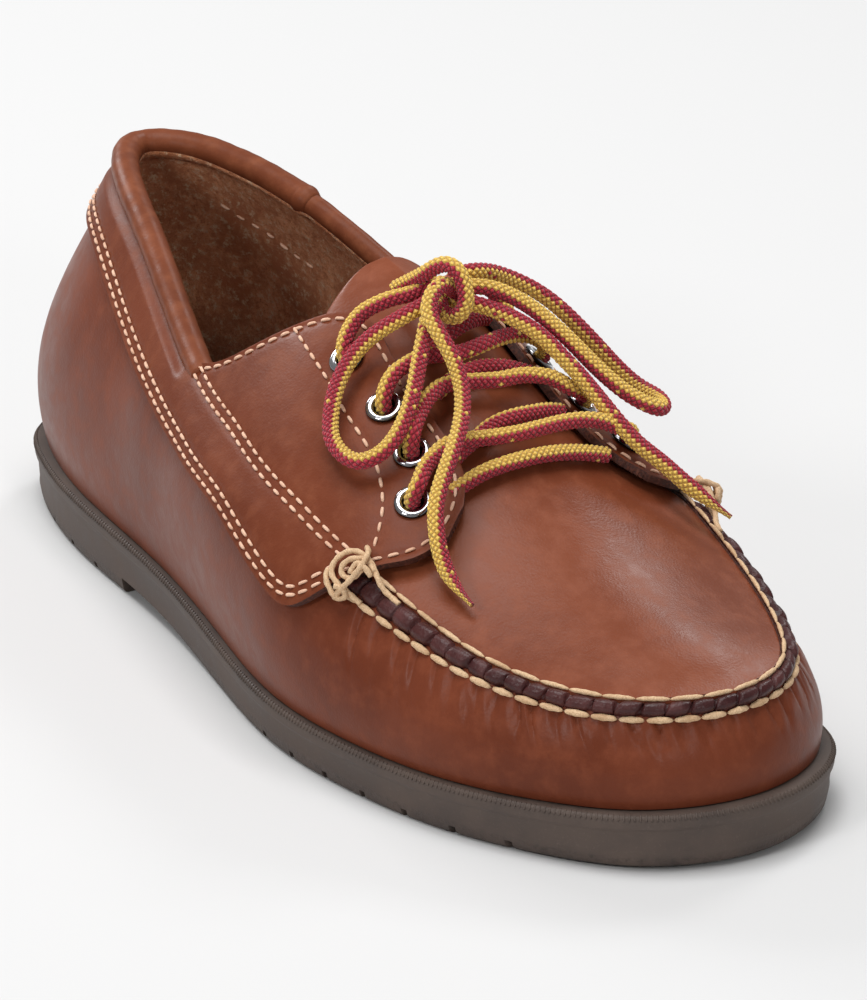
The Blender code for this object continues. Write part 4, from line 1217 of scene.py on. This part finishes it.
def make_lace(name, points, nodes, tip=0.0):
    """Length of braided lace along a smooth line; a free end tapers to its melted tip."""
    path, along = even_path(points, LACE_STEP)
    side, up = cord_frames(path, LEVEL + 0.01)
    facing = np.unwrap(np.arctan2(up @ SHOW_WAY, side @ SHOW_WAY))
    facing = np.convolve(np.pad(facing, 24, mode="edge"), np.ones(49) / 49, "valid")
    first, last = LACE_TURNS[name]
    wander = first + (last - first) * smooth(along / along[-1])
    wander += 12 * np.sin(2 * math.pi * along / 47 + len(path))
    body = np.full(len(path), LACE_RADIUS)
    if tip:
        body *= 0.30 + 0.70 * smooth((along[-1] - along) / tip)
    turn = np.linspace(0, 1, LACE_SIDES + 1)
    angle = 2 * math.pi * turn + (facing + np.radians(wander))[:, None]
    reach = body[:, None] * (0.87 + 0.12 * relief(turn, along[:, None]))
    rings = capped(rings_round(path, side, up, angle, reach), path)
    down = np.r_[along[0], along, along[-1]][:, None]
    chart = np.stack(np.broadcast_arrays(turn, down), -1)
    piece = grid_mesh(name.removeprefix("lace_"), rings, LACE, chart=chart)
    return settle(piece, "lace", *nodes), path, along[-1]


def up_through(hole):
    """The way up through an eyelet from under its flap."""
    return np.array([on_quarter(*hole, extra) for extra in (-5.0, -2.0, 1.5)])


def over_form(rows):
    return off_skin(*table(BAR_COLUMNS, rows).T)


def make_laces():
    cords = {name: table(CORD_COLUMNS, text) for name, text in CORDS.items()}
    for row in (1, 2, 3):
        name = f"lace_bar_{row + 1}"
        down = up_through(HOLES_INNER[row])[::-1]
        path = np.vstack([up_through(HOLES_OUTER[row]), over_form(BARS[name]), down])
        make_lace(name, path, [name])
    make_lace("lace_bar_low", over_form(BARS["lace_bar_low"]), ["lace_bar_low"])
    for name, rows in INNER_RUNS.items():
        make_lace(name, over_form(rows), [])
    for name, holes in (("lace_top_outer", HOLES_OUTER), ("lace_top_inner", HOLES_INNER)):
        make_lace(name, np.vstack([up_through(holes[0]), cords[name][1:]]), [name])
    make_lace("lace_knot", cords["lace_knot"], ["lace_knot"])
    for name, tip, far in (
        ("lace_loop_outer", 0, "object"), ("lace_loop_inner", 0, "object"),
        ("lace_end_centre", 12, "bare"), ("lace_end_inner", 12, "bare"),
    ):
        piece, path, length = make_lace(name, cords[name], [name], tip)
        place(path[0]).tolist()
        place(np.vstack([path[::4], path[-1:]])).tolist()


# ---------------------------------------------------------------- moccasin seam


def seam_frame(at):
    """Place of the lower thread, the way to the upper one, and up, along the seam."""
    low = skin(at, RIDGE_LOW)
    return low, skin(at, 1.0) - low, skin_normal(at, 0.5 * (RIDGE_LOW + 1))


def make_ridge(finish):
    """Roll of gathered leather between the two threads, one pucker to a stitch."""
    at = steps_between(KNOT_OUTER + 1.0, KNOT_INNER - 1.0, 0.36)
    low, across, up = seam_frame(at)
    t = np.linspace(0, 1, 26)[:, None]
    tall = np.clip(1 - np.abs(2 * t - 1) ** 2.8, 0, 1) ** 0.6
    phase = (at - KNOT_OUTER) / PLEAT_PITCH + 0.05 * waves(at, 2.0)
    beat = np.abs(np.mod(phase, 1) - 0.5) * 2
    each = np.floor(phase)
    gap = smooth((beat - 0.80 - 0.05 * np.sin(each * 4.3)) / 0.17)
    uneven = 1 + 0.12 * np.sin(each * 2.4) + 0.06 * np.sin(each * 5.1)
    crown = (1 - 0.16 * beat**2 - 0.48 * gap) * uneven
    ends = smooth((at - at[0]) / 6) * smooth((at[-1] - at) / 6)
    height = ROLL_TALL * (0.5 + 0.5 * ends) * crown * tall - 0.35
    wide = ROLL_END - ROLL_START + 0.10 * (1 - beat**2) - 0.10 * gap
    share = (t - 0.5) * wide + (ROLL_START + ROLL_END) / 2
    slant = (0.5 + 0.3 * np.sin(each * 3.3)) * (2 * t - 1) * 1.6
    along = unit(np.gradient(low, axis=0))
    points = low + across * share[..., None] + up * height[..., None] + along * slant[..., None]
    rings = np.concatenate([points, points[[-1, 0]] - up * 0.9]).transpose(1, 0, 2)
    settle(grid_mesh("seam_roll", capped(rings), finish, closed=True), "upper_leather")


def make_seam_threads():
    """Heavy thread on both sides of the roll."""
    at = steps_between(KNOT_OUTER + 3, KNOT_INNER - 3, 0.8)
    low, across, up = seam_frame(at)
    for name, path, normals, stitch, pitch, uneven in (
        ("wall_thread", low + up * 0.45, skin_normal(at, RIDGE_LOW), SPINDLE, PLEAT_PITCH, 0.05),
        ("plug_thread", low + across + up * 0.75, up, LONG_STITCH, PLUG_PITCH, 0.04),
    ):
        settle(repeat(name, [path], [normals], stitch, THREAD, pitch, uneven), "lace")


def make_thread_knot(name, at, way):
    """Tied ends of the heavy thread over the seam's end."""
    bm = bmesh.new()
    turn = np.linspace(0, 2 * math.pi, 10, endpoint=False)
    for strand in THREAD_KNOT:
        onward, rise, clear = table(KNOT_COLUMNS, strand).T
        path, along = even_path(off_skin(at + way * onward, rise, clear), 0.5)
        side, up = cord_frames(path, np.array([0.1, 0.3, 1.0]))
        ply = 1 + 0.12 * np.cos(2 * turn + 2 * math.pi * along[:, None] / KNOT_PLY)
        rings = rings_round(path, side, up, turn, KNOT_RADIUS * ply)
        piece = grid_mesh(name, capped(rings, path), THREAD, closed=True)
        bm.from_mesh(piece.data)
        bpy.data.objects.remove(piece)
    mesh = to_mesh(bm, bpy.data.meshes.new(name), [THREAD])
    mesh.shade_smooth()
    settle(link(name, mesh), "lace")


# ---------------------------------------------------------------- collar and lining


def roll_radius(at):
    """Radius of the collar roll, slimmer ahead of the joint on the inner side."""
    at = np.mod(at, AROUND)
    return COLLAR_RADIUS * (1 - 0.20 * (at > KNOT_INNER) * smooth((SEAM_INNER + 2 - at) / 4))


def collar_frame(at):
    """Middle of the collar roll, and its outward and upward directions."""
    centre = skin(at, 1.0)
    ahead = unit(np.gradient(centre, axis=0))
    outwards = skin_normal(at, 0.97)
    outwards = unit(outwards - ahead * (outwards * ahead).sum(1, keepdims=True))
    up = np.cross(outwards, ahead)
    return centre, outwards, up * np.sign(up[:, 2:3])


def make_collar(name, start, end, finish, nodes, seed, swell):
    """Rolled collar: a soft tube, a little uneven along its length."""
    at = steps_between(start, end, 0.9)
    centre, outwards, up = collar_frame(at)
    turn = np.linspace(0, 2 * math.pi, 40, endpoint=False)
    body = roll_radius(at) * (1 + swell + 0.02 * waves(at, seed, (21, 13, 7)))
    body *= 0.9 + 0.1 * smooth(np.minimum(at - at[0], at[-1] - at) / 3)
    reach = body[:, None] * (1 + 0.05 * np.cos(2 * turn))
    rings = capped(rings_round(centre, outwards * 0.96, up, turn, reach), centre)
    settle(grid_mesh(name, rings, finish, closed=True), "quarter_leather", *nodes)


def lining_sheet(at, thickness):
    """One face of the lining: up the wall, then over the inner lower half of the roll."""
    share = np.linspace(0, 1, 56)[:, None]
    rise = 0.02 + share * (wall_top(at) - 0.01)
    rough = 0.11 * np.sin(at * 2.3) * np.sin(share * 61) + 0.15 * waves(at, 6.0, (23, 11, 5))
    wall = off_skin(at + 0 * share, rise, rough - WALL - 0.1 - thickness)
    centre, outwards, up = collar_frame(at)
    turn = np.radians(np.linspace(-42, 2, 10))[:, None, None]
    fluff = 0.10 * np.sin(at * 1.9)[:, None] * np.sin(turn * 17)
    held = (thickness + fluff) * smooth((0.05 - turn) / 0.25)
    clear = roll_radius(at)[:, None] + 0.1 + held
    over = centre - outwards * np.cos(turn) * clear + up * np.sin(turn) * clear
    behind = smooth((behind_corner(at) - 1) / 4)[:, None]
    return np.concatenate([wall, over * behind + wall[-1:] * (1 - behind)])


def make_lining(finish):
    """Suede lining from the insole up over the lower half of the collar roll."""
    at = steps_between(KNOT_INNER + 8, AROUND + KNOT_OUTER - 8, 1.3)
    sheet = np.concatenate([lining_sheet(at, 0.4), lining_sheet(at, 0.0)[::-1]])
    piece = grid_mesh("lining", capped(sheet.transpose(1, 0, 2)), finish, closed=True)
    settle(piece, "insole_suede")


def make_lining_stitches():
    path = seam_line(LINING_SEAM)
    points, normals = off_skin(*path.T, -WALL - 0.55), -skin_normal(*path.T)
    stitches = (STITCH, FINE_THREAD, LINING_PITCH, 0.1)
    settle(repeat("lining_stitches", [points], [normals], *stitches), "lace")


def make_insole(finish):
    """Insole: a soft sheet with a faint dish along its middle."""
    at = steps_between(0, AROUND / 2, 2.0)
    one, two = (
        edge(side, SECTION(side)[:, COLUMN["inset"], None] + WALL + DISH)
        for side in (at, AROUND - at)
    )
    share = np.linspace(0, 1, 40)[:, None]
    points = one + (two - one) * share[..., None]
    bowl = np.sqrt(np.clip(4 * share * (1 - share), 0, 1))
    points[..., 2] = sole_top(points[..., 0]) + GAP + INSOLE - DISH * bowl
    piece = grid_mesh("insole_sheet", points, finish, facing=LEVEL)
    settle(thicken(piece, INSOLE - DISH), "insole_suede", "insole")


# ---------------------------------------------------------------- sole


def sole_rings(at):
    """Rings of the sole's side from the upper rim down to the tread."""
    upper = (
        (1.1, 0.0), (0.45, -0.12), (0.1, -0.5), (0.0, -1.0), (0.0, 0.5 - LIP),
        (0.12, 0.1 - LIP), (0.5, -0.2 - LIP), (0.75, -0.8 - LIP), (0.8, -1.8 - LIP),
    )
    lower = (
        (1.2, 4.6), (1.05, 4.1), (1.05, 3.9), (1.5, 1.6), (1.75, 0.7), (2.3, 0.15), (3.0, 0.0),
    )
    for height, rows in ((sole_top, upper), (sole_bottom, lower)):
        for inward, drop in rows:
            ring = edge(at, inward)
            ring[:, 2] = height(ring[:, 0]) + drop
            yield ring


def make_sole(finish):
    """Sole unit with its lip, arch, heel breast and cross grooves."""
    half = steps_between(0, TOE, 1.6)[:-1]
    count = 2 * len(half)
    at = np.concatenate([half, np.linspace(TOE, AROUND, len(half) + 1)[:-1]])
    bm = bmesh.new()
    grid = [[bm.verts.new(place(point)) for point in ring] for ring in sole_rings(at)]
    for low, high in zip(grid, grid[1:]):
        for i in range(count):
            bm.faces.new((low[i], low[i - 1], high[i - 1], high[i]))
    for ring in (grid[0], grid[-1]):
        for i in range(count // 2):
            across = [ring[i], ring[i + 1], ring[count - i - 1], ring[-i]]
            bm.faces.new(dict.fromkeys(across))
    bmesh.ops.recalc_face_normals(bm, faces=bm.faces)
    sole = link("sole", to_mesh(bm, bpy.data.meshes.new("sole"), [finish]))
    cut_away(sole, arch_cutter())
    cut_away(sole, tread_cutter())
    sole.data.shade_smooth()
    sole.data.set_sharp_from_angle(angle=math.radians(38))
    settle(sole, "sole_rubber", "outsole")


def arch_cutter():
    """Block under the waist: upright at the heel breast, its roof running out forward."""
    along = np.linspace(0, 1, 30)[:-1]
    x = BREAST + (ARCH_END - BREAST) * along
    roof = ARCH_RISE * (1 - smooth(along))
    past = ARCH_END + ARCH_RISE
    side = [(x[0], -ARCH_RISE), *zip(x, roof), (past, -0.6), (past, -ARCH_RISE)]
    bm = bmesh.new()
    near = [bm.verts.new(place((along, -CUTTER_WIDTH / 2, up))) for along, up in side]
    moved = bmesh.ops.extrude_face_region(bm, geom=[bm.faces.new(near)])
    verts = [v for v in moved["geom"] if isinstance(v, bmesh.types.BMVert)]
    bmesh.ops.translate(bm, verts=verts, vec=Vector((0, CUTTER_WIDTH * MM, 0)))
    bmesh.ops.recalc_face_normals(bm, faces=bm.faces)
    return link("arch", to_mesh(bm, bpy.data.meshes.new("arch")))


def tread_cutter():
    """Straight cross grooves that reach the sole's sides."""
    bm = bmesh.new()
    size = Matrix.Diagonal((GROOVE_WIDTH * MM, CUTTER_WIDTH * MM, GROOVE_TALL * MM, 1))
    for x in GROOVES:
        spot = Matrix.Translation(Vector(place((x, 0, sole_bottom(x)))))
        bmesh.ops.create_cube(bm, size=1, matrix=spot @ size)
    return link("grooves", to_mesh(bm, bpy.data.meshes.new("grooves")))


def make_knurl():
    """Fine ribs round the sole's upper rim."""
    at = steps_between(0, AROUND, 3.0)
    points = edge(at, 0.18)
    points[:, 2] = sole_top(points[:, 0]) - 0.5
    normals = outward(at) * 0.8 + LEVEL * 0.6
    ribs = repeat("sole_knurl", [points], [normals], RIB, RUBBER, RIB_PITCH, 0.06)
    settle(ribs, "sole_rubber")


# ---------------------------------------------------------------- light


def softbox(name, spot, aim, size, power):
    light = bpy.data.lights.new(name, "AREA")
    light.shape = "RECTANGLE"
    light.size, light.size_y = size
    light.energy = power
    made = link(name, light)
    made.location = spot
    made.rotation_euler = (Vector(aim) - Vector(spot)).to_track_quat("-Z", "Y").to_euler()


def make_studio():
    mesh = bpy.data.meshes.new("floor")
    mesh.from_pydata([(-6, -6, 0), (6, -6, 0), (6, 6, 0), (-6, 6, 0)], [], [(0, 1, 2, 3)])
    look = {"Base_Color": srgb("dadada"), "Specular_IOR_Level": 0.1}
    mesh.materials.append(Finish("paper", roughness=0.9, **look).made)
    link("floor", mesh)
    world = bpy.data.worlds.new("studio")
    world.use_nodes = True
    sky = world.node_tree.nodes["Background"].inputs
    sky["Color"].default_value, sky["Strength"].default_value = srgb("ffffff"), 0.25
    bpy.context.scene.world = world
    bpy.context.scene.view_settings.view_transform = "Standard"
    softbox("overhead", (0.0, -0.15, 1.5), (0, 0, 0.05), (1.0, 0.9), 17.5)
    softbox("front", (1.45, -0.30, 0.75), (0.0, 0.0, 0.05), (0.25, 0.25), 3)
    softbox("near_side", (0.45, -1.5, 1.0), (-0.06, 0.0, 0.07), (0.35, 0.35), 7)
    softbox("behind", (-1.5, -0.15, 0.85), (0, 0, 0.06), (0.5, 0.5), 9)
    softbox("far_side", (-0.6, 0.95, 1.1), (0.05, 0, 0.05), (0.35, 0.35), 4)


# ---------------------------------------------------------------- the shoe

make_camera()
make_studio()

FACE, PLUG_FACE, FLAP_FACE, ROLL_FACE, SEAM_FACE = (
    leather(name, *colours.split(), roughness, grain, seed=seed, Specular_IOR_Level=shine)
    for name, colours, roughness, grain, seed, shine in (
        ("wrap_leather", "68321f 773c27 88482f", 0.37, 1.0, (0.3, 0.1, 0), 0.14),
        ("plug_leather", "763c26 83452c 925238", 0.34, 1.0, (0.7, 0.4, 0.1), 0.16),
        ("quarter_leather_face", "69331f 753b25 864a30", 0.40, 1.0, (1.3, 0.8, 0.2), 0.12),
        ("collar_leather", "6a3722 7c432b 945638", 0.40, 1.0, (2.1, 1.8, 0.2), 0.12),
        ("seam_leather", "38191a 4d2624 6a3c3a", 0.40, 3.2, (3, 1, 0), 0.3),
    )
)
RIM = cut_leather("leather_edge", "3a1a12", "6b3a28")
# painted shade down inside the shoe: the lining darkens below 50 mm, most from 20 mm down
LINING = suede("suede_lining", "c67c54", "fab284", "ffe2bc", deep=(50.0, 20.0))
SOCK = suede("suede_insole", "4e2c1c", "754a2c", "946244", nap=0.6)
RUBBER = rubber("sole_rubber_face", "4a3e38", "5a4c44")
NICKEL = nickel("nickel")
# painted shade: near-black finish of the cups inside the eyelets, standing in for their shadow
EYELET_SHADE_PAINT = cut_leather("eyelet_shade_paint", "0e0a08", "241a15")
THREAD = waxed_thread("cream_thread", "e6c6a0", "ac835c")
FINE_THREAD = waxed_thread("stitch_thread", "f4cdb2", "cc9a7c")
LACE = braided("two_colour_braid")

PATH_TREE = repeat_tree("along_path", True)
POINT_TREE = repeat_tree("at_points", False)
STITCH = stitch_shape("stitch", 3.0, 0.41, 0.42, sides=8, rings=9, point=2.8)
SPINDLE = stitch_shape("spindle", 6.2, 0.80, 0.50, sides=10, rings=15, point=2.0, lumps=0.07)
LONG_STITCH = stitch_shape(
    "long_stitch", 7.9, 0.58, 0.35, sides=10, rings=19, point=2.6, lumps=0.08,
)
RING = ring_shape()
SHADE_CUP = shade_cup_shape()
RIB = rib_shape()

make_laces()

OUTER_SEAMS = quarter_seams(QUARTER_OUTER, BACK_SEAM_OUTER, FACING_OUTER, 1, (229.0, 0.86))
INNER_SEAMS = quarter_seams(QUARTER_INNER, BACK_SEAM_INNER, FACING_INNER, -1, (462.0, 0.90))
FLAP = [FLAP_FACE, RIM, RIM]

make_wrap(FACE, RIM, LINING)
make_plug_and_tongue(PLUG_FACE, RIM, LINING)
make_lining(LINING)
make_lining_stitches()
make_insole(SOCK)
make_quarter("quarter_out", QUARTER_OUTER, OUTER_SEAMS, HOLES_OUTER, FLAP, "quarter_outer")
make_quarter("quarter_in", QUARTER_INNER, INNER_SEAMS, HOLES_INNER, FLAP, "quarter_inner")
make_stitching("stitching_outer", OUTER_SEAMS)
make_stitching("stitching_inner", INNER_SEAMS)
make_ridge(SEAM_FACE)
make_seam_threads()
make_thread_knot("thread_knot_outer", KNOT_OUTER, 1)
make_thread_knot("thread_knot_inner", KNOT_INNER, -1)
for part, begin, end, replaced, seed, swell in (
    ("roll_outer", SEAM_INNER - AROUND + 0.6, CORNER_OUTER + 5.0, ["collar_outer"], 1.0, 0.0),
    ("joint", SEAM_INNER - 0.6, SEAM_INNER + 5.5, [], 1.0, 0.09),
    ("roll_inner", CORNER_INNER - 5.0, SEAM_INNER + 0.8, ["collar_inner"], 2.0, 0.0),
):
    make_collar("collar_" + part, begin, end, ROLL_FACE, replaced, seed, swell)
make_eyelets("eyelets_out", HOLES_OUTER, [f"eyelet_outer_{i}" for i in (1, 2, 3, 4)])
make_eyelets("eyelets_in", HOLES_INNER, [f"eyelet_inner_{i}" for i in (1, 2, 3, 4)])
make_sole(RUBBER)
make_knurl()

for spare in (STITCH, SPINDLE, LONG_STITCH, RING, SHADE_CUP, RIB):
    bpy.data.objects.remove(spare)
